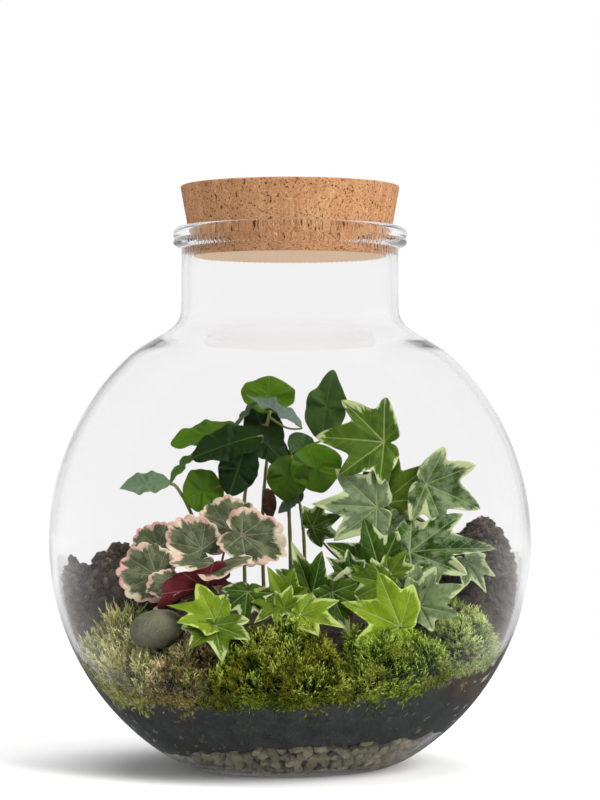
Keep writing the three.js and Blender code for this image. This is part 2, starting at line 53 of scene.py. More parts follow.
def placed(name, data):
    """A new object in the scene."""
    thing = bpy.data.objects.new(name, data)
    bpy.context.scene.collection.objects.link(thing)
    return thing


# Camera: 1.4 m in front of the jar's middle and 165 mm up, turned up a little as the photograph is framed
EYE_DISTANCE = 1400
EYE_HEIGHT = 165
EYE_RIGHT = 5
EYE_TURNED_UP = 0.72
LENS = 126.05

camera_data = bpy.data.cameras.new("photograph_camera")
camera_data.sensor_width = 36
camera_data.lens = LENS
camera_data.clip_start = 0.05
camera_data.clip_end = 50
camera = placed("photograph_camera", camera_data)
camera.location = (EYE_RIGHT * MM, -EYE_DISTANCE * MM, EYE_HEIGHT * MM)
camera.rotation_euler = Euler((np.radians(90 + EYE_TURNED_UP), 0, 0))
bpy.context.scene.camera = camera
bpy.context.scene.view_settings.view_transform = "Standard"


# Numbers and noise

def smooth(x):
    """The smooth step: 3x2 - 2x3 of x held between 0 and 1."""
    x = np.clip(x, 0, 1)
    return x * x * (3 - 2 * x)


def along(pairs, x):
    """Straight lines through a list of (x, value) pairs, level past both ends."""
    return np.interp(x, *np.array(pairs, float).T)


def unit(v):
    """Vectors divided by their lengths."""
    return v / np.maximum(np.linalg.norm(v, axis=-1, keepdims=True), 1e-9)


def around(count):
    """Even angles round the circle."""
    return np.arange(count) / count * 2 * np.pi


def polar(r, angle, z):
    """Points at a distance from the axis, an angle from +X and a height."""
    return np.stack(np.broadcast_arrays(r * np.cos(angle), r * np.sin(angle), z), -1)


def way_at(bearing):
    """The level direction of a bearing, counted from the front towards the right."""
    return np.stack([np.sin(bearing), -np.cos(bearing)], -1)


def noise(points, cell, seed=0):
    """Smooth random values from -1 to 1: a random number on each corner of a lattice of cells, blended
    between the eight corners round a point by the smooth step of its place in the cell."""
    place = np.asarray(points, float) / cell
    corner = np.floor(place).astype(np.int64)
    share = smooth(place - corner)
    total = np.zeros(place.shape[:-1])
    for step in itertools.product((0, 1), repeat=3):
        x, y, z = np.moveaxis(corner + np.array(step), -1, 0)
        code = (x * 374761393 + y * 668265263 + z * 1440662683 + seed * 982451653) & 0xFFFFFFFF
        code = ((code ^ (code >> 13)) * 1274126177) & 0xFFFFFFFF
        value = ((code ^ (code >> 16)) & 0xFFFF) / 32767.5 - 1
        weight = np.prod(np.where(step, share, 1 - share), axis=-1)
        total += weight * value
    return total


def seen(point):
    """A point seen at x and z in the jar's middle plane, carried along its line of sight to depth y: x and
    the height above the eye are scaled by 1 + y / the eye's distance."""
    x, y, z = np.moveaxis(np.asarray(point, float), -1, 0)
    k = 1 + y / EYE_DISTANCE
    return np.stack([x * k, y, EYE_HEIGHT + (z - EYE_HEIGHT) * k], -1)


# Surfaces

def facing_out(points, faces):
    """The faces of a closed skin, turned over if its signed volume, the sum of p0.(p1 x p2), is
    negative."""
    a, b, c = (points[faces[:, i]] for i in range(3))
    return faces if np.einsum("ij,ij->", a, np.cross(b, c)) >= 0 else faces[:, ::-1]


def closed(first, rings, last):
    """A closed skin between two poles: an array of rings by points, each square of the grid two triangles,
    with a fan of triangles from each pole to the ring next to it."""
    rows, count = rings.shape[:2]
    points = np.concatenate([[first], rings.reshape(-1, 3), [last]])
    j = np.arange(count)
    k = (j + 1) % count
    i = 1 + count * np.arange(rows - 1)[:, None]
    a, b, c, d = i + j, i + k, i + count + k, i + count + j
    end = 1 + count * (rows - 1)
    faces = [
        np.stack([np.zeros_like(j), 1 + k, 1 + j], -1),
        np.stack([a, b, c], -1).reshape(-1, 3),
        np.stack([a, c, d], -1).reshape(-1, 3),
        np.stack([np.full_like(j, len(points) - 1), end + j, end + k], -1),
    ]
    return points, facing_out(points, np.concatenate(faces))


def body(points, faces, material=0, uv=(0.5, 0.5), share=0.0, tone=(0.5, 0.5, 0.5)):
    """The arrays of one body: points, triangles, a material number a triangle, and a place on the leaf, a
    share and three tones a point. Single values are spread over all points."""
    n = len(points)
    return {
        "points": np.asarray(points, float),
        "faces": np.asarray(faces, int),
        "material": np.broadcast_to(material, (len(faces),)),
        "uv": np.broadcast_to(uv, (n, 2)),
        "share": np.broadcast_to(share, (n,)),
        "tone": np.broadcast_to(tone, (n, 3)),
    }


def joined(bodies):
    """Several bodies as one set of arrays, their triangles renumbered."""
    firsts = np.cumsum([0] + [len(b["points"]) for b in bodies[:-1]])
    whole = {key: np.concatenate([b[key] for b in bodies]) for key in bodies[0]}
    whole["faces"] = np.concatenate([b["faces"] + first for b, first in zip(bodies, firsts)])
    return whole


def piece(name, arrays, materials, slot, replaces=(), rounded=True):
    """A mesh of triangles from the arrays of a body, riding on the one body of the model."""
    mesh = bpy.data.meshes.new(name)
    faces = arrays["faces"].astype(np.int32)
    mesh.vertices.add(len(arrays["points"]))
    mesh.vertices.foreach_set("co", (arrays["points"] * MM).astype(np.float32).ravel())
    mesh.loops.add(faces.size)
    mesh.loops.foreach_set("vertex_index", faces.ravel())
    mesh.polygons.add(len(faces))
    mesh.polygons.foreach_set("loop_start", np.arange(0, faces.size, 3, dtype=np.int32))
    for material in materials:
        mesh.materials.append(material)
    mesh.polygons.foreach_set("material_index", arrays["material"].astype(np.int32))
    mesh.polygons.foreach_set("use_smooth", np.full(len(faces), rounded))
    mesh.update(calc_edges=True)
    place = mesh.uv_layers.new(name="place")
    place.data.foreach_set("uv", arrays["uv"][faces.ravel()].astype(np.float32).ravel())
    share = mesh.attributes.new("share", "FLOAT", "POINT")
    share.data.foreach_set("value", arrays["share"].astype(np.float32))
    tone = mesh.attributes.new("tone", "FLOAT_VECTOR", "POINT")
    tone.data.foreach_set("vector", arrays["tone"].astype(np.float32).ravel())
    thing = placed(name, mesh)
    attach(thing, "root")
    if replaces:
        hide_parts(*replaces)


def cut_corners(profile, rounds):
    """A profile with its corners cut: each side gives its quarter and three-quarter points, in each
    round."""
    line = np.array(profile, float)
    for _ in range(rounds):
        a, b = line[:-1], line[1:]
        inner = np.stack([0.75 * a + 0.25 * b, 0.25 * a + 0.75 * b], 1).reshape(-1, 2)
        line = np.concatenate([line[:1], inner, line[-1:]])
    return line


def turned(profile, count, swell=None):
    """A profile of (radius, height) turned about Z, closed at both ends on the axis. swell is added to the
    radius: a function of the angle and the height."""
    angle = around(count)
    r, z = profile[1:-1, :1], profile[1:-1, 1:]
    r = r + (swell(angle, z) if swell else 0)
    return closed([0, 0, profile[0, 1]], polar(r, angle, z), [0, 0, profile[-1, 1]])


def curve(points, count):
    """A smooth line through points: cubic pieces whose slope at a point is half the step between its
    neighbours."""
    p = np.asarray(points, float)
    p = np.concatenate([[2 * p[0] - p[1]], p, [2 * p[-1] - p[-2]]])
    t = np.linspace(0, len(p) - 3, count)
    i = np.minimum(t.astype(int), len(p) - 4)
    f = (t - i)[:, None]
    a, b, c, d = (p[i + k] for k in range(4))
    return b + 0.5 * f * (c - a + f * (2 * a - 5 * b + 4 * c - d + f * (3 * (b - c) + d - a)))


def tube(line, radius, sides):
    """A round rod along a line: at each of its points a ring of the radius, square to the line's
    direction."""
    line = np.asarray(line, float)
    ahead = unit(np.gradient(line, axis=0))
    guide = np.eye(3)[np.argmin(np.abs(ahead.sum(0)))]
    side = unit(np.cross(ahead, guide))
    over = np.cross(side, ahead)
    angle = around(sides)
    radius = np.broadcast_to(radius, (len(line),))[:, None, None]
    across = side[:, None] * np.cos(angle)[:, None] + over[:, None] * np.sin(angle)[:, None]
    return closed(line[0], line[:, None] + radius * across, line[-1])


def ball():
    """A ball of 80 triangles, which are the twenty of a regular solid, each split in four and pushed out to
    radius 1, and that solid itself."""
    g = (1 + 5**0.5) / 2
    corners = [[s * 1, t * g, 0] for s in (-1, 1) for t in (-1, 1)]
    points = unit(np.array([np.roll(c, k) for k in range(3) for c in corners], float))
    apart = np.linalg.norm(points[:, None] - points[None], axis=-1)
    near = (apart < 1.1) & (apart > 0)
    triples = itertools.combinations(range(12), 3)
    coarse = np.array([t for t in triples if near[t[0], t[1]] and near[t[1], t[2]] and near[t[0], t[2]]])
    out = np.einsum("ij,ij->i", points[coarse[:, 0]], np.cross(points[coarse[:, 1]], points[coarse[:, 2]]))
    coarse = np.where(out[:, None] < 0, coarse[:, ::-1], coarse)
    sides = np.concatenate([coarse[:, [0, 1]], coarse[:, [1, 2]], coarse[:, [2, 0]]])
    edges = np.unique(np.sort(sides, axis=1), axis=0)
    number = {tuple(e): 12 + k for k, e in enumerate(edges.tolist())}
    middle = lambda a, b: number[(min(a, b), max(a, b))]
    faces = []
    for a, b, c in coarse.tolist():
        ab, bc, ca = middle(a, b), middle(b, c), middle(c, a)
        faces += [[a, ab, ca], [ab, b, bc], [ca, bc, c], [ab, bc, ca]]
    return np.concatenate([points, unit(points[edges].mean(1))]), np.array(faces), points, coarse


BALL, BALL_FACES, CRUMB_BALL, CRUMB_FACES = ball()


def any_turn(count, draw):
    """Random turns as matrices, from random unit quaternions."""
    w, x, y, z = unit(draw.normal(size=(count, 4))).T
    rows = [
        [1 - 2 * (y * y + z * z), 2 * (x * y - z * w), 2 * (x * z + y * w)],
        [2 * (x * y + z * w), 1 - 2 * (x * x + z * z), 2 * (y * z - x * w)],
        [2 * (x * z - y * w), 2 * (y * z + x * w), 1 - 2 * (x * x + y * y)],
    ]
    return np.moveaxis(np.array(rows), -1, 0)


def lumps(centres, halves, draw, faces=CRUMB_FACES, skin=CRUMB_BALL, flats=6):
    """Chipped lumps: a ball cut back by a few random planes each, its reach in a direction the least of
    depth / the direction's share along each plane's normal, stretched to three half widths and turned."""
    n = len(centres)
    normals = unit(draw.normal(size=(n, flats, 3)))
    depth = draw.uniform(0.5, 0.92, (n, 1, flats))
    facing = np.einsum("vk,nfk->nvf", skin, normals)
    reach = np.minimum(1, np.min(depth / np.maximum(facing, 0.01), axis=-1))
    shape = skin[None] * reach[..., None] * np.asarray(halves)[:, None]
    points = np.einsum("nij,nvj->nvi", any_turn(n, draw), shape) + centres[:, None]
    numbers = faces[None] + (np.arange(n) * len(skin))[:, None, None]
    tones = np.repeat(draw.uniform(0, 1, (n, 3)), len(skin), axis=0)
    return body(points.reshape(-1, 3), numbers.reshape(-1, 3), tone=tones)


def picked(points, faces, count, draw, wanted):
    """Random places on a skin, as many by area as a function of the corner and normal wants, with the
    normals of their triangles."""
    a, b, c = (points[faces[:, i]] for i in range(3))
    cross = np.cross(b - a, c - a)
    area = np.linalg.norm(cross, axis=1)
    weight = area * wanted(a, unit(cross))
    row = draw.choice(len(faces), count, p=weight / weight.sum())
    u, v = draw.uniform(0, 1, (2, count, 1))
    over = u + v > 1
    u, v = np.where(over, 1 - u, u), np.where(over, 1 - v, v)
    return a[row] + u * (b - a)[row] + v * (c - a)[row], unit(cross[row])


# Jar and cork: the profiles of the part's source with their corners rounded, as (radius, height)

BELLY_RADIUS = 120
BELLY_HALF_HEIGHT = 124
BELLY_CENTRE = 112.5
WALL = 3

# How far the contents are pressed into the glass's thickness, so that no air shows between
PRESSED = {"stones": 0.2, "soil": 0.25, "moss": 0.15, "straggling moss": 0.45, "crumbs": 0.0}


def belly(inset, low, high, steps):
    """Part of the belly's oval: radius a cos t and height b sin t about the belly's middle."""
    a, b = BELLY_RADIUS - inset, BELLY_HALF_HEIGHT - inset
    t = np.linspace(np.arcsin((low - BELLY_CENTRE) / b), np.arcsin((high - BELLY_CENTRE) / b), steps)
    return np.stack([a * np.cos(t), BELLY_CENTRE + b * np.sin(t)], -1).tolist()


KNURLS = 120
JAR_SIDES = 4 * KNURLS

LIP = [
    [54.2, 257], [54.5, 258.2], [56.3, 259], [57.6, 260.2], [58.2, 261.6], [57.7, 262.9], [58.4, 264],
    [58.5, 266], [57.6, 267.8], [55.8, 269], [53.4, 269], [51.7, 268.2], [51.05, 266.6],
]
OUTSIDE = [
    [0, 0], [30, 0], [43, 0], [48, 0.3], [53.5, 2.2], *belly(0, 5, 206, 26),
    [68.6, 212.6], [61.5, 216.6], [56.8, 220.6], [54.6, 225], [54.2, 230], [54.2, 244],
]
INSIDE = [
    [51.05, 258], [51.05, 242], [51.05, 230], [51.4, 224.6], [53.8, 219.4], [58.6, 214.8], [65.6, 210.4],
    *belly(WALL, 7.8, 204.5, 24)[::-1], [54.6, 5.4], [49, 3.7], [43, 3.4], [25, 3.4], [0, 3.4],
]
JAR_PROFILE = cut_corners(OUTSIDE + LIP + INSIDE, 1)
INNER_WALL = cut_corners(INSIDE[::-1], 1)


def bore(z):
    """The radius of the jar's inner wall at a height."""
    return np.interp(z, INNER_WALL[2:, 1], INNER_WALL[2:, 0])


def kept_in(points, clearance):
    """Points drawn in towards the axis where they come closer to the glass than the clearance."""
    r = np.hypot(points[..., 0], points[..., 1])
    share = np.minimum(1, (bore(points[..., 2]) - clearance) / np.maximum(r, 1e-6))
    return points * np.stack([share, share, np.ones_like(share)], -1)


def knurl(angle, z):
    """The lip's slanting ribs: a cosine round the jar that shifts with the height, on the lip's lower
    half."""
    band = np.clip(1 - np.abs(z - 260.7) / 2.2, 0, 1)
    return 0.45 * band * np.cos(KNURLS * angle + 1.1 * (z - 260))


CORK_PROFILE = [
    [0, 254], [25, 254], [45.5, 254], [47.9, 254.1], [48.5, 254.8], [49.2, 258], [51.9, 273], [54.5, 287.4],
    [54.8, 288.8], [54.2, 289.5], [51, 289.5], [25, 289.5], [0, 289.5],
]


def cork_pits(angle, z):
    """Small dents in the cork's side, from two sizes of noise."""
    place = polar(52, angle, z)
    return -0.35 * np.maximum(0, noise(place, 2.2, 5) - 0.35) - 0.12 * np.abs(noise(place, 1.1, 6))


# Ground: the levels of the part's source

GRAVEL_TOP = [(-70, 7.5), (-45, 13.5), (-20, 17.5), (0, 18.5), (45, 20), (75, 22)]
SOIL_EDGE = [
    (-180, 82), (-130, 87), (-100, 100), (-88, 93), (-76, 52), (-62, 40), (0, 41), (35, 45), (50, 52),
    (72, 57), (84, 84), (94, 99), (106, 98), (130, 87), (180, 82),
]
BANKS = [(-87, 18, 40, 22, 42), (98, 14, 55, 25, 42)]
EDGE_BAND = [(-180, 26), (68, 26), (86, 12), (108, 12), (130, 26), (180, 26)]
MOSS_TOP = 64


def gravel_level(x):
    """The gravel's top by x, with low waves."""
    return along(GRAVEL_TOP, x) + 0.8 * np.sin(x * 0.4)


def crumbs(x, y):
    """Low bumps: 1.6 mm times the product of two slanting sines."""
    return 1.6 * np.sin(x * 0.43 + 2 * np.sin(y * 0.21)) * np.sin(y * 0.37 + x * 0.13)


def soil_level(x, y):
    """The soil's height: a slope with two banks, blended near the glass to the height given by bearing."""
    inner = 65 + 0.15 * y + crumbs(x, y)
    for bank_x, bank_y, rise, across, deep in BANKS:
        inner = inner + rise * np.exp(-(((x - bank_x) / across) ** 2) - ((y - bank_y) / deep) ** 2)
    degrees = np.degrees(np.arctan2(x, -y))
    edge, band = along(SOIL_EDGE, degrees) + crumbs(y, x), along(EDGE_BAND, degrees)
    edge = edge + 1.8 * noise(np.stack(np.broadcast_arrays(x, y, 0.0), -1), 4.5, 10)
    near = (np.hypot(x, y) - (bore(edge) - band)) / band
    return inner + (edge - inner) * smooth(near)


def bed(bottom, top, count, wall_rows, top_rows, inset, rough):
    """A bed between two levels: rings on the floor, up the wall at an inset from the glass, and over the
    top to the middle. rough gives how far noise moves the wall in and the top up and down. The wall is
    pressed flat where the noise is low, which leaves pockets between patches that touch the glass, and
    rounded at its top."""
    angle = around(count)
    way = way_at(angle)
    radius = {}
    for name, level in (("bottom", bottom), ("top", top)):
        r = np.full(count, 80.0)
        for _ in range(20):
            r = bore(level(*(way * r[:, None]).T)) - inset
        radius[name] = r
    ground = [way * radius["bottom"][:, None] * s for s in (0.5, 0.9)]
    ground = [np.column_stack([g, bottom(*g.T)]) for g in ground]
    low, high = bottom(*(way * radius["bottom"][:, None]).T), top(*(way * radius["top"][:, None]).T)
    z = low + (high - low) * np.linspace(0, 1, wall_rows)[:, None]
    r = bore(z) - inset - 1.8 * smooth((np.linspace(0, 1, wall_rows)[:, None] - 0.88) / 0.12)
    wall = np.stack([r * way[:, 0], r * way[:, 1], z], -1)
    dent = rough[0] * np.maximum(0, 1.4 * noise(wall, 3.4, 1) + 0.9 * noise(wall, 1.3, 2) - 0.8)
    wall[..., :2] -= dent[..., None] * way
    shares = np.linspace(1, 0, top_rows + 1)[1:-1]
    flat = way * (radius["top"] * shares[:, None])[..., None]
    cover = np.concatenate([flat, top(flat[..., 0], flat[..., 1])[..., None]], -1)
    cover[..., 2] += rough[1] * (noise(cover * [1, 1, 0], 4.2, 3) + 0.6 * noise(cover * [1, 1, 0], 1.9, 4))
    rings = np.concatenate([np.array(ground), wall, cover])
    return closed([0, 0, bottom(0.0, 0.0)], rings, [0, 0, top(0.0, 0.0)])


def gravel_stones(draw):
    """Stones in rows round the glass, two deep, and in a sunflower's spiral over the floor."""
    rows = []
    for deep, z in itertools.product((0, 1), np.arange(6.4, 25, 3.5)):
        r = bore(z) - 3 - 4.4 * deep
        n = int(2 * np.pi * r / 5.7)
        angle = (np.arange(n) + 0.5 * deep + draw.uniform(-0.25, 0.25, n)) / n * 2 * np.pi + z
        row = polar(r, angle, z + draw.uniform(-1, 1, n))
        rows.append(row[row[:, 2] < gravel_level(row[:, 0]) - 0.4 + 1.2 * draw.uniform(-1, 1, n)])
    k = np.arange(230)
    height = 6.4 + draw.uniform(-0.3, 0.6, len(k))
    rows.append(polar(3.15 * np.sqrt(k + 0.5), k * GOLDEN_ANGLE, height))
    centres = np.concatenate(rows)
    halves = draw.uniform([2.9, 2.4, 2.0], [4.3, 3.5, 3.0], (len(centres), 3))
    stones = lumps(centres, halves, draw, BALL_FACES, BALL, 9)
    stones["points"] = kept_in(stones["points"], -PRESSED["stones"])
    stones["points"][:, 2] = np.maximum(stones["points"][:, 2], 3.8)
    return stones


# Moss

CUSHIONS = [
    ("moss_left_tuft", -77, -47, 15, 22, 2150, "long"),
    ("moss_dry_patch", -45.5, -27.5, 13, 29, 1400, "dry"),
    ("moss_middle_cushion", -26, 17, 18, 39, 3500, "yellow"),
    ("moss_right_cushion", 18.5, 49, 18, 31, 2400, "green"),
    ("moss_light_cushion", 50.5, 74, 18, 30, 1900, "light"),
]


def clumps(place):
    """How far up a clump of moss a place lies, from 0 in the creases to 1: the size of a noise, without its
    sign, so that round clumps meet in sharp creases."""
    place = place * [1, 1, 0.6]
    return np.minimum(1, 2.3 * np.abs(noise(place, 7.5, 11)) + 0.25 * np.abs(noise(place, 2.6, 12)))


def cushion_core(start, end, rise, deep):
    """A pillow between two bearings, against the glass: a squared circle laid over the bearings and the
    depth, whose height over the soil falls away towards its rim, with clumps, and a flat underside sunk in
    the soil."""
    angle = around(72)
    share = np.linspace(1, 0, 17)[:-1][:, None]
    square = 1 / (np.abs(np.cos(angle)) ** 5 + np.abs(np.sin(angle)) ** 5) ** 0.2
    across, back = share * square * np.cos(angle), 0.5 - 0.5 * share * square * np.sin(angle)
    bearing = np.radians((start + end) / 2 + across * (end - start) / 2)
    way = way_at(bearing)
    rim = bore(along(SOIL_EDGE, np.degrees(bearing)) + 8) - 1.2
    flat = way * (rim - deep * back)[..., None]
    ground = np.minimum(soil_level(flat[..., 0], flat[..., 1]), MOSS_TOP)
    place = np.concatenate([flat, 0 * flat[..., :1]], -1)
    swell = 1 + 0.2 * noise(place, 11, 7)
    z = ground - 3 + (rise + 1) * swell * (1 - share**5) ** 0.8
    z = z + 4.6 * (clumps(place) - 0.62) * (1 - share**3)
    top = kept_in(np.concatenate([flat, z[..., None]], -1), 0.5 + 2.5 * share**10)
    under = top[::-1] * [0.97, 0.97, 0] + np.concatenate([0 * flat, (ground - 5)[..., None]], -1)[::-1]
    under = kept_in(under, 3)
    middle = top[-1].mean(0)
    return closed(middle * [1, 1, 0] + [0, 0, under[0, :, 2].mean()], np.concatenate([under, top]), middle)


def shoots(roots, normals, draw, length, leaflets, leaflet, spread, patch, high, pressed_in):
    """Moss shoots: leaflets set in a spiral on a stalk that bends upwards, each a thin four-sided spike
    that leans out from the stalk, less so towards its end. high is how far up a clump each one stands: low
    ones are short, and their tone paints them dark as shade in the creases. Against the glass they lie along
    it, pressed_in deep at most."""
    n = len(roots)
    pressed = smooth((np.hypot(roots[:, 0], roots[:, 1]) - bore(roots[:, 2]) + 5) / 4)[:, None]
    stray = draw.normal(size=(n, 3)) * (1 - pressed * 0.6 * np.abs(normals))
    lean = unit((1 - 0.8 * pressed) * normals + 0.55 * UP * (1 - pressed) + 0.55 * stray)
    long = length * draw.uniform(0.6, 1.15, (n, 1, 1)) * (0.55 + 0.5 * high[:, None, None])
    s = ((np.arange(leaflets) + 0.6) / leaflets)[None, :, None]
    bend = 0.35 * unit(draw.normal(size=(n, 3)) + UP)[:, None]
    at = roots[:, None] + long * (s * lean[:, None] + s * s * bend)
    stalk = unit(lean[:, None] + 2 * s * bend)
    side = unit(np.cross(stalk, unit(draw.normal(size=(n, 1, 3)))))
    over = np.cross(stalk, side)
    turn = np.arange(leaflets)[None, :, None] * GOLDEN_ANGLE + draw.uniform(0, 6.3, (n, 1, 1))
    out = side * np.cos(turn) + over * np.sin(turn)
    tilt = spread * (1.15 - 0.75 * s)
    ahead = unit(stalk * np.cos(tilt) + out * np.sin(tilt))
    wide = unit(np.cross(ahead, stalk + 0.01))
    thick = np.cross(ahead, wide)
    size = leaflet * (1.1 - 0.45 * s) * draw.uniform(0.8, 1.2, (n, leaflets, 1))
    half = 0.17 * size
    corners = np.stack([at + half * wide, at - half * wide, at + 0.5 * half * thick, at + size * ahead], 2)
    spike = np.array([[0, 1, 2], [0, 3, 1], [1, 3, 2], [2, 3, 0]])
    faces = spike[None] + 4 * np.arange(n * leaflets)[:, None, None]
    # How far up its shoot and its clump a point lies: the tone that paints shade low down and, in part, a
    # highlight at the tips.
    up_it = (s[..., None] + [[[0], [0], [0], [0.25]]]) * (0.25 + 0.8 * high[:, None, None, None])
    up_it = np.broadcast_to(up_it, (n, leaflets, 4, 1))
    each = np.broadcast_to(draw.uniform(0, 1, (n, 1, 1, 1)), up_it.shape)
    patches = np.broadcast_to(patch[:, None, None, None], up_it.shape)
    tone = np.concatenate([up_it, each, patches], -1).reshape(-1, 3)
    points = kept_in(corners.reshape(-1, 3), -pressed_in)
    return body(points, faces.reshape(-1, 3), tone=tone)


MOSS_WAYS = {
    "long": {"length": 8.5, "leaflets": 7, "leaflet": 3.8, "spread": 0.55},
    "dry": {"length": 5.5, "leaflets": 6, "leaflet": 2.9, "spread": 0.9},
    "yellow": {"length": 5.0, "leaflets": 6, "leaflet": 2.6, "spread": 0.95},
    "green": {"length": 5.0, "leaflets": 6, "leaflet": 2.6, "spread": 0.95},
    "light": {"length": 4.2, "leaflets": 6, "leaflet": 2.25, "spread": 0.9},
}


# Leaves. An outline is the reach by bearing from the tip, measured from the point where the veins meet.

def outline(keys, points, steps):
    """Half an outline through keys of (bearing, reach), in cubic pieces. At a pointed key each side keeps
    its own chord's slope, elsewhere the slope is the mean of both chords, or level in a hollow or on a
    hump."""
    a, r = np.array(keys, float).T
    chord = np.diff(r) / np.diff(a)
    before, after = np.r_[chord[0], chord], np.r_[chord, chord[-1]]
    mean = np.where(before * after > 0, (before + after) / 2, 0)
    sharp = np.isin(a, points)
    start, end = np.where(sharp, after, mean)[:-1, None], np.where(sharp, before, mean)[1:, None]
    width, t = np.diff(a)[:, None], np.linspace(0, 1, steps, endpoint=False)
    low, high = r[:-1, None], r[1:, None]
    reach = low + (high - low) * smooth(t) + width * t * (1 - t) * (start * (1 - t) - end * t)
    angle = a[:-1, None] + width * t
    return angle.ravel(), reach.ravel()


def both_halves(angle, reach):
    """A whole outline from its half, mirrored, with the last key's reach at the base."""
    angle, reach = np.r_[angle, 180], np.r_[reach, reach[-1]]
    whole = np.r_[angle, 360 - angle[1:-1][::-1]], np.r_[reach, reach[1:-1][::-1]]
    return np.radians(whole[0]), whole[1]


IVY_KEYS = [
    (0, 1), (5, 0.84), (12, 0.69), (22, 0.58), (33, 0.74), (38, 0.82), (41, 0.88), (45, 0.8), (53, 0.65),
    (66, 0.53), (77, 0.58), (83, 0.63), (86, 0.65), (90, 0.61), (101, 0.48), (118, 0.37), (142, 0.27),
    (166, 0.18), (179, 0.07),
]
BLUNT_IVY_KEYS = [
    (0, 1), (4, 0.93), (11, 0.77), (20, 0.61), (26, 0.58), (33, 0.7), (38, 0.82), (41, 0.87), (46, 0.8),
    (53, 0.67), (63, 0.52), (70, 0.5), (78, 0.56), (84, 0.63), (88, 0.64), (93, 0.58), (103, 0.46),
    (118, 0.37), (142, 0.28), (166, 0.18), (179, 0.07),
]
SAXIFRAGE_KEYS = [
    (0, 1), (25, 0.95), (50, 0.97), (76, 0.87), (102, 0.79), (130, 0.65), (157, 0.42), (179, 0.1),
]


def oval(slim, point):
    """A leaf's oval about its middle. It is drawn out to its tip by a share, point, and slimmed beside the
    tip by 0.8 of that share. Its edge is slightly uneven."""
    a = around(96)
    tip = np.minimum(a, 2 * np.pi - a)
    reach = 0.5 * slim / np.hypot(slim * np.cos(a), np.sin(a))
    drawn = point * np.exp(-((tip / 0.17) ** 2)) - 0.8 * point * np.exp(-(((tip - 0.6) / 0.35) ** 2))
    return a, reach * (1 + drawn + 0.015 * np.sin(9 * a))


TEETH = 17


def scalloped(angle, reach):
    """An outline with round teeth: the reach times 1.03, less a notch between the teeth."""
    return angle, reach * (1.03 - 0.1 * (1 - np.abs(np.cos(TEETH / 2 * angle)) ** 0.6))


IVY = {
    "ahead": 0, "waves": 0.04, "outline": both_halves(*outline(IVY_KEYS, [0, 41, 86], 3)), "quilt": 0,
    "rays": (0, 41, 86, 130, 180), "pleat": 0.085,
}
BLUNT_IVY = {**IVY, "outline": both_halves(*outline(BLUNT_IVY_KEYS, [0, 41], 3))}
SAXIFRAGE = {
    "ahead": 0, "waves": 0.07, "outline": scalloped(*both_halves(*outline(SAXIFRAGE_KEYS, [], 10))),
    "quilt": 0, "rays": (0, 32, 66, 104, 142, 180), "pleat": 0.03,
}
COFFEE = {
    "ahead": 0.5, "waves": 0.04, "outline": oval(0.52, 0.07), "quilt": 0.016, "rays": (0, 180), "pleat": 0,
}
ROUND_COFFEE = {
    "ahead": 0.5, "waves": 0.06, "outline": oval(0.85, 0.05), "quilt": 0.016, "rays": (0, 180), "pleat": 0,
}
POINTED_COFFEE = {**COFFEE, "outline": oval(0.56, 0.17)}

# A blade's thickness, the point on its own plane where its veins meet, and its rows from there to the edge
BLADE = 0.36
LEAF_JOINT = (0.5, 0.4)
LEAF_ROWS = np.array([0.13, 0.28, 0.43, 0.58, 0.72, 0.85, 0.95, 1])


def blade(kind, leaf, tone):
    """A leaf: polar rows about the point where the veins meet, laid out ahead and to both sides. Its height
    is fold times the distance from the midrib, less droop times the distance ahead squared, plus a wave of
    five swells round the edge, low quilting between the side veins, and a pleat that rises from each ray to
    halfway to the next. The two faces meet in a thin rim."""
    start = seen(leaf["joint"])
    ahead = seen(leaf["tip"]) - start
    length = np.linalg.norm(ahead)
    ahead = ahead / length
    facing = np.array(leaf["facing"], float)
    up = unit(facing - ahead * facing.dot(ahead))
    side = np.cross(up, ahead)
    angle, reach = kind["outline"]
    wide, fold, droop = leaf["wide"], leaf["fold"], 0.12
    share = LEAF_ROWS[:, None]
    u = kind["ahead"] * length + share * reach * length * np.cos(angle)
    v = share * reach * length * np.sin(angle) * wide
    away = np.minimum(1, np.hypot(u, v) / (0.5 * length))
    wave = kind["waves"] * length * share * away * np.sin(5 * angle + length)
    wave = wave + 0.012 * length * share**3 * np.sin(11 * angle + 2 * length)
    quilt = kind["quilt"] * length * np.cos(2 * np.pi * 8 * (u / length - 0.45 * np.abs(v) / length))
    quilt = quilt * np.minimum(1, np.abs(v) / (0.12 * length)) * (1 - share**4)
    spine = np.hypot(v, 0.03 * length) - 0.03 * length
    off_tip = np.degrees(np.minimum(angle, 2 * np.pi - angle))
    between = np.interp(off_tip, kind["rays"], np.arange(len(kind["rays"])))
    pleat = kind["pleat"] * length * share * np.abs(np.sin(np.pi * between)) * (1 - 0.3 * share)
    height = fold * spine - droop * u * u / length + wave + quilt + pleat
    thick = BLADE / 2 * (1 - 0.85 * share**6)

    def place(lift):
        """The rows moved off the leaf's middle surface by a lift."""
        return start + u[..., None] * ahead + v[..., None] * side + (height + lift)[..., None] * up

    middle = start + kind["ahead"] * length * ahead - droop * kind["ahead"] ** 2 * length * up
    rings = np.concatenate([place(thick), place(-thick)[::-1]])
    points, faces = closed(middle + BLADE / 2 * up, rings, middle - BLADE / 2 * up)
    across, ahead_by = LEAF_JOINT
    on_leaf = np.stack([across + 0.5 * v / wide / length, ahead_by + 0.5 * u / length], -1)
    pole = [[across, ahead_by + 0.5 * kind["ahead"]]]
    uv = np.concatenate([pole, np.concatenate([on_leaf, on_leaf[::-1]]).reshape(-1, 2), pole])
    shares = np.broadcast_to(share, u.shape)
    shares = np.concatenate([[0], np.concatenate([shares, shares[::-1]]).ravel(), [0]])
    under = (faces.max(1) >= 1 + (len(LEAF_ROWS) + 1) * len(angle)).astype(int)
    return body(points, faces, under, uv, shares, tone)


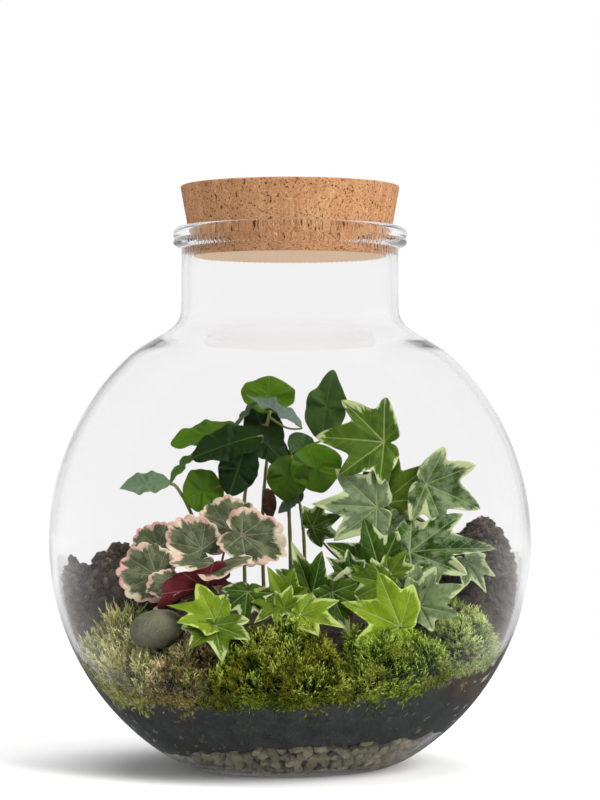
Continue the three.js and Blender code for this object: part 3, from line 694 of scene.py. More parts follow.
def leafy_stem(plant):
    """A stem through its points, and each leaf with its stalk. The stalk leaves the stem at a share of its
    length, passes a little behind the leaf, and runs on under the blade."""
    kind, radius, stalk = plant["kind"], plant["radius"], plant["stalk"]
    line = curve(seen(plant["stem"]), 8 * len(plant["stem"]))
    taper = radius * np.linspace(1.05, 0.8, len(line))
    bodies = [body(*tube(line, taper * (1 + 0.08 * np.sin(np.arange(len(line)) * 1.7)), 8), 2)]
    for leaf, tone in zip(plant["leaves"], plant["tones"]):
        start = line[int(round(leaf["at"] * (len(line) - 1)))]
        joint, tip = seen(leaf["joint"]), seen(leaf["tip"])
        leaf_kind = leaf.get("kind", kind)
        onward, back = unit(tip - joint), unit(np.array(leaf["facing"], float))
        end = joint + onward * (4 if leaf_kind["ahead"] else 0.8) - 0.6 * back
        reach = np.linalg.norm(joint - start)
        middle = start + 0.6 * (joint - start) - 0.15 * reach * back
        path = curve([start, middle, joint - 0.6 * back, end], 16) if reach > 3 else curve([start, end], 6)
        thin = stalk * np.linspace(0.95, 0.6, len(path))
        bodies.append(body(*tube(path, thin, 6), 2))
        bodies.append(blade(leaf_kind, leaf, tone))
    return joined(bodies)


def leaf(at, joint, tip, facing, wide=1.0, fold=0.15, kind=None):
    """A row of a plant's list, as in the part's source."""
    row = {"at": at, "joint": joint, "tip": tip, "facing": facing, "wide": wide, "fold": fold}
    return row if kind is None else {**row, "kind": kind}


def plant(kind, radius, stalk, stem, leaves, tones):
    """A plant's stem and leaf stalks, with their radii, and its leaves with a set of tones each."""
    return {"kind": kind, "radius": radius, "stalk": stalk, "stem": stem, "leaves": leaves, "tones": tones}


# The plants of the part's source. Each has its stem, its leaves, and for each leaf three tones from 0 to 1:
# how grey it is (on coffee, a painted sheen), how wide its pale margin is (on coffee, how withered), and how
# young and light it is, which also paints in how much light or shade falls on each leaf.

PLANTS = {
    "ivy_tall_stem": plant(
        IVY, 1.1, 0.7,
        [(44, 8, 54), (46, 8, 84), (48, 6, 110), (49, 4, 122), (48, 3, 133), (47.5, 2, 148),
         (46.5, 1, 160)],
        [
            leaf(1, (47, 0, 161.5), (13.5, -7, 165), (0.1, -1, 0.25), fold=0.1, kind=BLUNT_IVY),
            leaf(0.62, (43.5, -4, 129), (11.5, -12, 131), (0, -1, 0.2), wide=0.95),
            leaf(0.72, (47.5, 0, 132), (71, -3, 152), (-0.1, -1, 0.1), wide=0.9),
            leaf(0.66, (68, -4, 140.5), (95, -10, 129), (0.1, -1, 0.15), wide=1.1, kind=BLUNT_IVY),
            leaf(0.58, (50, -4, 121), (64, -10, 106), (0.1, -1, 0.4), wide=1.15, kind=BLUNT_IVY),
        ],
        [(0.1, 0.2, 0.2), (0.85, 0.35, 0), (0.3, 0.25, 0.3), (0.65, 0.45, 0.05), (0.9, 0.25, 0)],
    ),
    "ivy_right_stem": plant(
        IVY, 1.1, 0.7,
        [(56, -14, 52), (55, -16, 76), (57, -18, 94), (59, -20, 104)],
        [
            leaf(1, (60, -20, 106.5), (102, -26, 112), (0, -0.8, 0.7), wide=0.8, fold=0.1, kind=BLUNT_IVY),
            leaf(0.85, (88, -16, 101.5), (98, -27, 87), (0.3, -1, 0.3), wide=0.8),
            leaf(0.3, (62.5, -44, 83.5), (77, -44, 99), (-0.2, -1, 0.3)),
            leaf(0.25, (64.5, -50, 80), (86, -53, 91), (0.1, -1, 0.5), kind=BLUNT_IVY),
        ],
        [(0.6, 0.38, 0), (0.85, 0.4, 0), (0.8, 0.3, 0.1), (0.85, 0.35, 0.1)],
    ),
    "ivy_middle_stem": plant(
        IVY, 1.1, 0.7,
        [(30, -12, 52), (31, -12, 78), (36, -13, 90), (42, -16, 97)],
        [
            leaf(1, (45, -27, 97.5), (19, -30, 112), (0, -1, 0.3), wide=1.1),
            leaf(0.6, (31, -31, 94), (18.5, -32, 104.5), (0, -1, 0.3)),
            leaf(0.8, (48, -43, 91), (28, -49, 82.5), (0, -1, 0.8)),
            leaf(0.9, (49.5, -33, 95), (66, -36, 100.5), (0, -1, 0.7)),
            leaf(0.7, (42.5, -38, 90), (31, -40, 101), (0, -1, 0.3)),
            leaf(0.35, (55, -64, 69.5), (27.5, -72, 83), (0, -1, 0.5), wide=1.1),
            leaf(0.3, (21, -50, 86.5), (30, -61, 66), (0, -1, 0.25), wide=0.85),
            leaf(0.45, (5, -64, 75), (27.5, -73, 71.5), (0, -0.8, 1)),
            leaf(0.75, (11, 6, 119), (26.5, 2, 126), (0.2, -1, 0.2)),
        ],
        [
            (0.1, 0.15, 0.05), (0.2, 0.4, 0), (0.1, 0.2, 0.3), (0, 0.2, 0.55), (0, 0.2, 0.6), (0, 0.35, 1),
            (0, 0.1, 0.1), (0, 0.3, 0.85), (0.4, 0.4, 0.2),
        ],
    ),
    "ivy_left_stem": plant(
        IVY, 1.1, 0.7,
        [(0, -18, 52), (1, -20, 74), (3, -26, 82)],
        [
            leaf(1, (11, -36, 85), (1, -40, 112), (0, -1, 0.2), wide=0.75),
            leaf(1, (-2, -44, 82), (-11, -46, 99.5), (0, -1, 0.2)),
            leaf(0.8, (-3, -53, 78), (9.5, -54, 86), (0, -1, 0.4)),
            leaf(0.7, (-21, -45, 87), (-23, -55, 69), (0, -1, 0.3)),
            leaf(0.7, (-4, -50, 80.5), (-18, -58, 73), (0, -0.8, 1)),
            leaf(0.75, (-37, -60, 72), (-60, -60, 83), (0.1, -0.7, 1), wide=1.1, fold=0.25),
            leaf(0.6, (-37, -65, 70), (-33, -83, 54), (0.1, -1, 0.35), wide=1.1),
        ],
        [
            (0, 0.1, 0.1), (0, 0.25, 0.8), (0, 0.3, 0.85), (0.25, 0.35, 0.05), (0, 0.3, 0.5), (0, 0.15, 1),
            (0, 0.15, 0.4),
        ],
    ),
    "strawberry_saxifrage": plant(
        SAXIFRAGE, 2, 0.8,
        [(-42, -16, 54), (-42, -17, 70), (-41, -18, 80)],
        [
            leaf(1, (-30.5, -6, 118), (-31, 4, 135.5), (0, -1, 0.6), wide=0.85),
            leaf(1, (-44, -16, 108), (-60, -20, 121), (0.2, -1, 0.4), wide=0.75),
            leaf(1, (-24, -15, 115), (-2, -19, 107), (0, -1, 0.6), wide=0.75),
            leaf(0.9, (-66, -30, 95), (-86, -34, 97), (-0.1, -1, 0.4), wide=0.9),
            leaf(0.95, (-38, -28, 101), (-42, -50, 96), (0, -0.35, 1), wide=1.05),
            leaf(0.9, (-66, -4, 109), (-76, -2, 118), (0, -1, 0.5)),
            leaf(0.85, (-60, -42, 91), (-71, -46, 88), (0, -1, 0.6), wide=0.8),
            leaf(0.85, (-42, -38, 89), (-69, -46, 79), (0, 0.5, 0.9), wide=0.6, fold=0.4),
            leaf(0.8, (-38, -31, 85.5), (-51, -46, 84), (0, -0.2, 1), wide=0.85),
        ],
        [
            (0.5, 0.35, 0.2), (0.55, 0.5, 0.5), (0.5, 0.5, 0.4), (0.7, 0.4, 0.6), (0.6, 0.45, 0.4),
            (0.2, 0.3, 0.9), (0.5, 0.4, 0.8), (0.3, 0.4, 0.9), (0.4, 0.3, 0.6),
        ],
    ),
    "coffee_seedling_left": plant(
        COFFEE, 1, 0.7,
        [(-30, 26, 56), (-37, 24, 85), (-48, 22, 122), (-56, 20, 138), (-60, 20, 141)],
        [
            leaf(1, (-60, 19, 141.5), (-84.5, 16, 141), (0, -0.8, 0.8), wide=1.15),
            leaf(1, (-60, 20, 142), (-48, 22, 159), (-1, -0.8, 0.6), wide=0.75),
        ],
        [(0.7, 0, 0.6), (0.1, 0, 0.6)],
    ),
    "coffee_seedling_middle": plant(
        COFFEE, 1, 0.7,
        [(-22, 30, 56), (-23, 30, 112), (-22, 31, 140), (-14, 32, 160), (-10, 33, 178)],
        [
            leaf(0.98, (-12, 34, 176), (-10, 40, 195), (0, -1, 0.5), wide=1.6, kind=ROUND_COFFEE),
            leaf(0.95, (6, 24, 169), (-20, 22, 187), (0.4, -0.6, 1), wide=0.72, fold=0.45),
            leaf(0.9, (-28, 28, 169), (-18, 26, 183), (-0.8, -0.6, 0.6), wide=0.6),
            leaf(0.75, (-25, 26, 168), (-59, 22, 164), (0, -0.8, 0.7), wide=0.9),
            leaf(0.7, (-14, 18, 165), (-48, 12, 157), (0, -0.9, 0.6), wide=1.1),
            leaf(0.7, (-22, 16, 160), (-30, 10, 136), (0.1, -1, 0.1), wide=1.5),
            leaf(0.55, (-34, 18, 140), (-53, 13, 134), (0, -1, 0.4), wide=1.4, kind=ROUND_COFFEE),
            leaf(0.8, (-20, 24, 168), (-1, 22, 152), (0, -0.8, 0.7), wide=1.4),
        ],
        [
            (0, 0, 0.65), (1, 0, 0.1), (0.5, 0, 0.3), (0, 0, 0.6), (0, 0, 0.03), (0, 0, 0),
            (0, 0, 0.55), (0, 0, 0.05),
        ],
    ),
    "coffee_seedling_right": plant(
        COFFEE, 1, 0.7,
        [(1, 30, 56), (0, 30, 110), (-1, 30, 140), (0, 31, 158)],
        [
            leaf(1, (16, 34, 163), (20, 36, 196), (-0.3, -1, 0.2), wide=1.15, kind=POINTED_COFFEE),
            leaf(0.9, (1, 20, 155), (-3, 16, 133), (0, -1, 0.3), wide=1.1, kind=ROUND_COFFEE),
            leaf(0.95, (9, 24, 160), (17, 18, 138), (0.2, -1, 0.2), wide=1.3, kind=ROUND_COFFEE),
            leaf(0.8, (4, 26, 134), (-6, 24, 127), (0, -1, 0.8)),
            leaf(1, (0, 27, 165), (13, 25, 153), (0, -1, 0.3), wide=1.4),
        ],
        [(0.1, 0, 0.28), (0, 0, 0.4), (0, 0, 0.7), (0.8, 0, 0.5), (0.2, 0, 0.3)],
    ),
    "coffee_seedling_back": plant(
        COFFEE, 1, 0.7,
        [(-12, 40, 56), (-14, 40, 116), (-12, 40, 150), (-10, 40, 162)],
        [
            leaf(0.95, (-8, 39, 157), (-19, 35, 181), (0, -1, 0.2), wide=1.4),
            leaf(0.5, (-11, 38, 138), (-10, 36, 124), (0, -1, 0.1)),
        ],
        [(0, 0, 0.02), (0, 1, 0.3)],
    ),
    "coffee_seedling_small": plant(
        COFFEE, 1, 0.7,
        [(8, 36, 56), (7, 36, 110), (5, 36, 130)],
        [leaf(1, (4.5, 36, 131), (2, 30, 142), (0, -1, 0.5))],
        [(0.5, 0, 0.5)],
    ),
}


# Materials

def screen(red, green, blue):
    """A colour of a screen, 0 to 255, as the light that it stands for."""
    c = np.array([red, green, blue]) / 255
    return (*np.where(c <= 0.04045, c / 12.92, ((c + 0.055) / 1.055) ** 2.4).tolist(), 1.0)


class Net:
    """A node tree, emptied, with short ways to fill it. A socket is linked to an input, and anything else is
    set on the input itself."""

    def __init__(self, tree):
        self.tree = tree
        tree.nodes.clear()

    def fill(self, node, inputs):
        """A node's outputs, once its inputs are filled by name or number."""
        for name, value in inputs.items():
            if isinstance(value, bpy.types.NodeSocket):
                self.tree.links.new(value, node.inputs[name])
            else:
                node.inputs[name].default_value = value
        return node.outputs

    def node(self, kind, inputs=(), **settings):
        """The outputs of a new node."""
        node = self.tree.nodes.new("ShaderNode" + kind)
        for name, value in settings.items():
            setattr(node, name, value)
        return self.fill(node, dict(inputs))

    def maths(self, operation, *values):
        """The result of one arithmetic step."""
        return self.node("Math", enumerate(values), operation=operation)[0]

    plus = functools.partialmethod(maths, "ADD")
    less = functools.partialmethod(maths, "SUBTRACT")
    times = functools.partialmethod(maths, "MULTIPLY")
    times_plus = functools.partialmethod(maths, "MULTIPLY_ADD")
    larger = functools.partialmethod(maths, "MAXIMUM")
    smaller = functools.partialmethod(maths, "MINIMUM")

    def vector(self, operation, *values):
        """The vector that one step of vector arithmetic gives."""
        return self.node("VectorMath", enumerate(values), operation=operation)[0]

    def split(self, vector):
        """The three parts of a vector."""
        return self.node("SeparateXYZ", {"Vector": vector})

    def ranged(self, value, low, high, to_low=0.0, to_high=1.0):
        """A value carried from one range to another, held at its ends."""
        inputs = {"Value": value, "From Min": low, "From Max": high, "To Min": to_low, "To Max": to_high}
        return self.node("MapRange", inputs)[0]

    def noisy(self, place, scale, detail=3.0, rough=0.5):
        """A noise value at a place."""
        inputs = {"Vector": place, "Scale": scale, "Detail": detail, "Roughness": rough}
        return self.node("TexNoise", inputs)["Fac"]

    def mix(self, share, first, second):
        """A colour between two, by a share. Three numbers are a colour of a screen."""
        first, second = (screen(*c) if isinstance(c, tuple) and len(c) == 3 else c for c in (first, second))
        return self.node("Mix", {"Factor": share, 6: first, 7: second}, data_type="RGBA")[2]

    def layered(self, base, *layers):
        """A colour with others laid over it in turn, each given as (mask, strength, colour)."""
        for mask, strength, tint in layers:
            base = self.mix(mask if strength == 1 else self.times(mask, strength), base, tint)
        return base

    def shared(self, tree, **inputs):
        """The outputs of a shared group."""
        return self.node("Group", inputs, node_tree=tree)

    def glow(self, strength):
        """A shader that gives off white light."""
        return self.node("Emission", {"Strength": strength})[0]

    def blend(self, share, first, second):
        """A shader between two, by a share."""
        return self.node("MixShader", {"Fac": share, 1: first, 2: second})[0]


class Skin(Net):
    """A material and what its colours are worked out from. Each is made when it is first asked for."""

    def __init__(self, name):
        self.material = bpy.data.materials.new(name)
        self.material.use_nodes = True
        super().__init__(self.material.node_tree)

    @functools.cached_property
    def place(self):
        """The place on the object in metres."""
        return self.node("TexCoord")["Object"]

    @functools.cached_property
    def tone(self):
        """The three tones of a body."""
        return self.split(self.node("Attribute", attribute_name="tone")["Vector"])

    @functools.cached_property
    def outward(self):
        """The share of the way from a leaf's middle to its edge."""
        return self.node("Attribute", attribute_name="share")["Fac"]

    @functools.cached_property
    def on_leaf(self):
        """The place on the leaf's own plane."""
        return self.node("UVMap", uv_map="place")[0]

    def grains(self, size, seam):
        """The shared grains at this place."""
        return self.shared(GRAINS, Place=self.place, Size=size, Seam=seam)

    def mottle(self, size, level, soft):
        """The mask of the shared mottle at this place."""
        return self.shared(MOTTLE, Place=self.place, Size=size, Level=level, Soft=soft)["Mask"]

    def margin(self, widest, rough):
        """The mask of the shared leaf margin, its width the second tone times the widest."""
        seed = self.node("CombineXYZ", {0: self.tone[0], 1: self.tone[1], 2: self.tone[2]})[0]
        width = self.times(self.tone[1], widest)
        inputs = {"Leaf": self.on_leaf, "Seed": seed, "Share": self.outward, "Width": width, "Rough": rough}
        return self.shared(MARGIN, **inputs)["Mask"]

    def dress(self, base, rough, bump=None, gloss=0.5, more=()):
        """The main shader, with its colour, its roughness as (mask, where it is 0, where it is 1), its
        relief as (height, the distance in metres that its full range stands for, strength), and how much it
        mirrors."""
        mask, *ends = rough
        inputs = {"Base Color": base, "Specular IOR Level": gloss, **dict(more)}
        inputs["Roughness"] = self.ranged(mask, 0.0, 1.0, *ends)
        if bump:
            inputs["Normal"] = self.node("Bump", zip(("Height", "Distance", "Strength"), bump))[0]
        return self.node("BsdfPrincipled", inputs)[0]

    def lit_through(self, base, surface, share):
        """A surface with a share of the light that falls on its back coming through."""
        return self.blend(share, surface, self.node("BsdfTranslucent", {"Color": base})[0])

    def done(self, surface):
        """The material, with its surface given."""
        self.node("OutputMaterial", {"Surface": surface})
        return self.material


def group(name, inputs, outputs):
    """A new shared group: its net, what it is given, and a function that fills what it gives and returns
    its tree. An input is a vector where its default is None, and otherwise a number, as all outputs are."""
    tree = bpy.data.node_groups.new(name, "ShaderNodeTree")
    for title, default in inputs.items():
        kind = "NodeSocketVector" if default is None else "NodeSocketFloat"
        socket = tree.interface.new_socket(name=title, in_out="INPUT", socket_type=kind)
        if default is not None:
            socket.default_value = default
    for title in outputs:
        tree.interface.new_socket(name=title, in_out="OUTPUT", socket_type="NodeSocketFloat")
    net, given, last = Net(tree), tree.nodes.new("NodeGroupInput").outputs, tree.nodes.new("NodeGroupOutput")

    def gives(**values):
        """The group's tree, once its outputs are filled."""
        net.fill(last, values)
        return tree

    return net, given, gives


def grains_group():
    """Grains packed side by side: a random tone for each cell, the dark seams between cells, and a height.
    The cells are those of the place times a noise of it, plus 0.6 mm times that noise, so that they are
    uneven."""
    outputs = "Tone", "Seams", "Height"
    net, given, gives = group("grains", {"Place": None, "Size": 500.0, "Seam": 0.1}, outputs)
    bent = net.noisy(given["Place"], 400.0, 2.0)
    small = net.node("VectorMath", {0: (0.0006, 0.0006, 0.0006), "Scale": bent}, operation="SCALE")[0]
    cells = {"Vector": net.vector("MULTIPLY_ADD", given["Place"], bent, small), "Scale": given["Size"]}
    tone = net.split(net.node("TexVoronoi", cells)["Color"])[0]
    edge = net.node("TexVoronoi", cells, feature="DISTANCE_TO_EDGE")["Distance"]
    return gives(Tone=tone, Seams=net.ranged(edge, given["Seam"], 0.0), Height=net.ranged(edge, 0.0, 0.3))


def mottle_group():
    """A noise as a mask, its middle and softness given: for patches, wear and stains."""
    net, given, gives = group("mottle", {"Place": None, "Size": 100.0, "Level": 0.5, "Soft": 0.1}, ("Mask",))
    coarse = net.noisy(given["Place"], given["Size"], 4.0, 0.6)
    low, high = net.less(given["Level"], given["Soft"]), net.plus(given["Level"], given["Soft"])
    return gives(Mask=net.ranged(coarse, low, high))


def margin_group():
    """The pale margin of a leaf: where the share from the middle to the edge, made uneven by streaks that
    fan out from the joint and by noise, passes one less the margin's width. The streaks are a noise of the
    direction from the joint, which changes little along the way out. Seed sets one leaf's streaks off from
    another's."""
    inputs = {"Leaf": None, "Seed": None, "Share": 0.0, "Width": 0.2, "Rough": 0.4}
    net, given, gives = group("leaf_margin", inputs, ("Mask",))
    from_joint = net.vector("SUBTRACT", given["Leaf"], (*LEAF_JOINT, 0))
    away = net.vector("NORMALIZE", from_joint)
    fanned = net.vector("MULTIPLY_ADD", from_joint, (1.2, 1.2, 1.2), away)
    fanned = net.vector("MULTIPLY_ADD", given["Seed"], (7.3, 5.1, 9.7), fanned)
    broad = net.less(net.noisy(fanned, 1.6, 1.0), 0.5)
    streaks = net.less(net.noisy(fanned, 7.0, 3.0, 0.7), 0.5)
    uneven = net.times(net.times_plus(broad, 1.6, streaks), given["Rough"])
    start = net.less(1.0, given["Width"])
    reach = net.plus(given["Share"], uneven)
    return gives(Mask=net.ranged(reach, net.less(start, 0.03), net.plus(start, 0.06)))


def veins_group(name, width):
    """A new group for veins, and how far a place on a leaf lies across from its midrib and ahead of its
    joint, in leaf lengths."""
    net, given, gives = group(name, {"Leaf": None, "Width": width}, ("Main", "Side"))
    parts = net.split(given["Leaf"])
    across = net.maths("ABSOLUTE", net.times_plus(parts[0], 2.0, -2 * LEAF_JOINT[0]))
    return net, given["Width"], gives, across, net.times_plus(parts[1], 2.0, -2 * LEAF_JOINT[1])


def palmate_veins_group(name, rays):
    """Veins that fan out from the leaf's joint: the distance from the nearest of the rays, alike on both
    halves, with side veins that leave it at a slant."""
    net, width, gives, across, ahead = veins_group(name, 0.01)
    nearest, far = None, None
    for degrees in rays:
        c, s = float(np.cos(np.radians(degrees))), float(np.sin(np.radians(degrees)))
        onward = net.times_plus(across, s, net.times(ahead, c))
        off = net.maths("ABSOLUTE", net.less(net.times(ahead, s), net.times(across, c)))
        off = net.plus(off, net.maths("LESS_THAN", onward, 0.0))
        if nearest is None:
            nearest, far = off, onward
        else:
            closer = net.maths("LESS_THAN", off, nearest)
            far = net.plus(far, net.times(closer, net.less(onward, far)))
            nearest = net.smaller(nearest, off)
    wide = net.times(width, net.ranged(far, 0.0, 1.0, 1.3, 0.35))
    line = net.maths("PINGPONG", net.times_plus(nearest, -1.1, far), 0.07)
    side = net.times(net.ranged(line, net.times(width, 0.6), 0.0), net.ranged(nearest, 0.3, 0.12))
    return gives(Main=net.ranged(nearest, wide, net.times(wide, 0.3)), Side=side)


def feather_veins_group():
    """Veins of a long leaf: a midrib, and side veins that leave it at a slant on both sides."""
    net, width, gives, across, ahead = veins_group("feather_veins", 0.012)
    line = net.maths("PINGPONG", net.times_plus(across, -0.45, ahead), 0.0625)
    main = net.ranged(across, width, net.times(width, 0.3))
    return gives(Main=main, Side=net.ranged(line, net.times(width, 0.7), 0.0))


GRAINS, MOTTLE, MARGIN = grains_group(), mottle_group(), margin_group()
IVY_VEINS = palmate_veins_group("ivy_veins", (0, 41, 86))
ROUND_VEINS = palmate_veins_group("round_leaf_veins", (0, 32, 66, 104))
FEATHER = feather_veins_group()
GLASS_IOR = 1.46


def jar_glass():
    """Clear blown glass with slow ripples. Rays that only carry light to what is inside pass straight
    through. Where the wall is met squarely it mirrors little, so that it mostly shows where it is seen at a
    slant. Light that meets it from within the glass is mirrored as in real glass from well short of the
    critical angle on."""
    skin = Skin("jar_glass")
    smear = skin.mottle(40.0, 0.55, 0.2)
    tint = skin.mix(smear, (0.983, 0.979, 0.981, 1), (0.972, 0.967, 0.97, 1))
    ripple = (skin.noisy(skin.place, 14.0, 1.0), 0.0006, 0.5)
    glass = skin.dress(tint, (smear, 0.0, 0.03), ripple, more={"IOR": GLASS_IOR, "Transmission Weight": 1.0})
    bending = {"Color": (0.97, 0.967, 0.969, 1), "Roughness": 0.0, "IOR": GLASS_IOR}
    bend = skin.node("BsdfRefraction", bending)[0]
    clear = skin.node("BsdfTransparent", {"Color": (0.975, 0.972, 0.974, 1)})[0]
    slant = skin.node("LayerWeight", {"Blend": 0.5})["Facing"]
    outer, inner = skin.ranged(slant, 0.4, 0.85, 0.95, 0.0), skin.ranged(slant, 0.1, 0.22, 0.95, 0.0)
    calm = skin.ranged(skin.node("NewGeometry")["Backfacing"], 0.0, 1.0, outer, inner)
    path = skin.node("LightPath")
    passing = skin.larger(path["Is Shadow Ray"], path["Is Diffuse Ray"])
    return skin.done(skin.blend(passing, skin.blend(calm, glass, bend), clear))


def pressed_cork():
    """Pressed cork: granules of several browns, some dark, with seams and pits, and a paler underside:
    painted light, for the light that reaches it from below."""
    skin = Skin("pressed_cork")
    grain, fine, pits = skin.grains(620.0, 0.06), skin.grains(1500.0, 0.05), skin.mottle(800.0, 0.6, 0.03)
    base = skin.layered(
        skin.mix(grain["Tone"], (146, 82, 44), (255, 208, 156)),
        (fine["Tone"], 0.4, (226, 164, 112)),
        (skin.mottle(60.0, 0.5, 0.25), 0.3, (168, 102, 60)),
        (skin.ranged(fine["Tone"], 0.22, 0.14), 0.7, (104, 58, 34)),
        (skin.larger(skin.times(grain["Seams"], 0.6), pits), 1, (84, 48, 30)),
        # Painted light: the underside, below the cork's lowest edge, is made paler for the light that reaches
        # it from below.
        (skin.ranged(skin.split(skin.place)["Z"], 0.2545, 0.2541, 0.0, 0.85), 1, (255, 224, 190)),
    )
    height = skin.less(grain["Height"], skin.times(pits, 1.5))
    return skin.done(skin.dress(base, (grain["Tone"], 0.95, 0.75), (height, 0.0003, 0.7), 0.1))


def fine_gravel():
    """Beige and grey stones, each of its own tone, with grains and dust."""
    skin = Skin("fine_gravel")
    grain, dust = skin.grains(1400.0, 0.08), skin.mottle(160.0, 0.5, 0.15)
    base = skin.layered(
        skin.mix(skin.tone[0], (90, 86, 64), (154, 148, 122)),
        (skin.maths("POWER", skin.tone[1], 4.0), 1, (86, 88, 76)),
        (grain["Tone"], 0.25, (104, 98, 76)),
        (dust, 0.3, (120, 115, 92)),
    )
    return skin.done(skin.dress(base, (dust, 0.7, 0.95), (grain["Height"], 0.00015, 0.6), 0.15))


def potting_soil(name, dark, light, speck, dry=None):
    """Dark soil: crumbs of two tones, pale specks and a rough skin. Higher up, and lower down too at the
    right, it is dry, in two tones of its own."""
    skin = Skin(name)
    grain = skin.grains(700.0, 0.12)
    share = skin.times_plus(grain["Tone"], 0.4, skin.times(skin.tone[0], 0.6))
    base = skin.mix(share, dark, light)
    if dry:
        where = skin.split(skin.place)
        right = skin.larger(skin.less(where["X"], 0.05), 0.0)
        high = skin.times_plus(right, 0.5, where["Z"])
        base = skin.mix(skin.ranged(high, 0.05, 0.065), base, skin.mix(skin.maths("POWER", share, 1.5), *dry))
    patch, specks = skin.mottle(90.0, 0.5, 0.15), skin.mottle(1100.0, 0.7, 0.03)
    base = skin.layered(base, (patch, 0.4, dark), (specks, 0.7, speck))
    return skin.done(skin.dress(base, (grain["Tone"], 0.85, 1.0), (grain["Height"], 0.0006, 0.9), 0.08))


def smooth_pebble():
    """A river pebble: fine grey grain with faint bands and pale specks."""
    skin = Skin("smooth_pebble")
    band, specks = skin.mottle(70.0, 0.5, 0.2), skin.mottle(1600.0, 0.62, 0.05)
    base = skin.layered(skin.mix(band, (62, 64, 46), (98, 99, 76)), (specks, 0.4, (170, 168, 156)))
    return skin.done(skin.dress(base, (band, 0.55, 0.72), (specks, 0.0001, 0.4), 0.2))


def moss_shoots(name, root, leaf_colour, tip, stray):
    """Moss: dark at the foot of each shoot and low in the creases, partly the older foot and partly painted
    shade, and bright at its end, partly the paler young tip and partly a painted highlight, with shoots and
    patches of another colour.
    Some light comes through the leaflets."""
    skin = Skin(name)
    up, own, patch = skin.tone[0], skin.tone[1], skin.tone[2]
    odd = skin.ranged(skin.times_plus(own, 0.6, skin.times(patch, 0.6)), 0.55, 1.0)
    # Partly painted shade: the dark foot colour, low on each shoot and on shoots low in the creases. Partly
    # painted highlight: the tip colour laid on next.
    base = skin.mix(skin.ranged(up, 0.15, 0.7), root, leaf_colour)
    base = skin.layered(base, (skin.ranged(up, 0.65, 1.2), 1, tip), (odd, 0.75, stray))
    return skin.done(skin.lit_through(base, skin.dress(base, (own, 0.55, 0.8), gloss=0.05), 0.15))


def leaf_skin(name, colours, tree, width, rough, through=0.25, gloss=0.1):
    """A leaf's face: colours from a function of its skin and veins, the veins sunk in, a fine grain, and
    some light coming through. The veins come from a shared tree, at a width."""
    skin = Skin(name)
    veins = skin.shared(tree, Leaf=skin.on_leaf, Width=width)
    base = colours(skin, veins)
    sunk = skin.larger(veins["Main"], skin.times(veins["Side"], 0.3))
    relief = skin.less(skin.times(skin.noisy(skin.place, 900.0, 2.0), 0.25), sunk)
    face = skin.dress(base, (skin.mottle(300.0, 0.5, 0.2), *rough), (relief, 0.0004, 0.8), gloss)
    return skin.done(skin.lit_through(base, face, through))


def ivy_colours(skin, veins):
    """Variegated ivy: dark or lime green with grey-green patches that spread from the middle, a cream
    margin that is broad at some lobes and missing at others, and pale veins."""
    grey_and_sheen, _, young = skin.tone
    green = skin.mix(young, (22, 54, 0), (96, 122, 8))
    light_green = skin.mix(young, (56, 90, 6), (126, 148, 24))
    return skin.layered(
        skin.mix(skin.ranged(skin.noisy(skin.place, 120.0), 0.35, 0.65), green, light_green),
        (skin.mottle(150.0, skin.ranged(grey_and_sheen, 0.0, 1.0, 0.85, 0.28), 0.07), 1,
         skin.mix(young, (118, 136, 98), (150, 170, 84))),
        (skin.mottle(320.0, 0.52, 0.12), 0.4, skin.mix(young, (20, 44, 4), (92, 120, 8))),
        (skin.margin(0.27, 0.65), 1, skin.mix(young, (180, 191, 142), (172, 190, 96))),
        (veins["Main"], 0.5, (168, 186, 118)),
        (veins["Side"], 0.24, (168, 186, 118)),
    )


def ivy_under(skin, veins):
    """The paler, duller underside of ivy."""
    green = skin.mix(skin.tone[2], (104, 128, 76), (156, 180, 80))
    layers = (skin.margin(0.27, 0.65), 1, (206, 210, 176)), (veins["Main"], 0.5, (186, 196, 140))
    return skin.layered(green, *layers)


def saxifrage_colours(skin, veins):
    """Strawberry saxifrage: grey-green with silvery veins, and a broad uneven margin of cream and pink."""
    pink = skin.mottle(110.0, skin.ranged(skin.tone[2], 0.0, 1.0, 0.62, 0.4), 0.12)
    return skin.layered(
        skin.mix(skin.mottle(200.0, 0.52, 0.06), (70, 78, 50), (100, 109, 78)),
        (skin.margin(0.38, 0.4), 1, skin.mix(pink, (214, 206, 174), (206, 158, 148))),
        (veins["Main"], 0.34, (168, 176, 146)),
        (veins["Side"], 0.2, (160, 168, 138)),
    )


def saxifrage_under(skin, veins):
    """The maroon underside of the saxifrage."""
    base = skin.mix(skin.mottle(150.0, 0.5, 0.2), (74, 20, 28), (112, 46, 48))
    return skin.layered(base, (veins["Main"], 0.5, (168, 110, 104)))


def coffee_colours(skin, veins):
    """Glossy coffee leaves: dark to fresh green, the near-black ones painted shade, lighter along the veins,
    and greyed on some leaves by a painted sheen. A withered one is brown.
    """
    grey_and_sheen, withered, young = skin.tone
    # Painted shade: the near-black end of deep, on leaves with a low third tone, stands for leaves in shadow
    # among the others.
    deep = skin.mix(young, (4, 22, 2), (72, 118, 4))
    fresh = skin.mix(young, (12, 42, 2), (96, 134, 16))
    patch = skin.mottle(110.0, 0.5, 0.2)
    return skin.layered(
        skin.mix(patch, deep, fresh),
        # Painted sheen: leaves with a high first tone are greyed, for the white studio mirrored in their
        # gloss.
        (grey_and_sheen, 0.65, (112, 128, 120)),
        (veins["Main"], 0.22, (104, 138, 40)),
        (veins["Side"], 0.06, (98, 132, 40)),
        (withered, 1, skin.mix(patch, (72, 48, 34), (120, 82, 56))),
    )


def coffee_under(skin, veins):
    """The lighter underside of coffee leaves."""
    base = skin.mix(skin.tone[2], (52, 84, 34), (112, 142, 62))
    return skin.layered(base, (veins["Main"], 0.5, (150, 170, 100)))


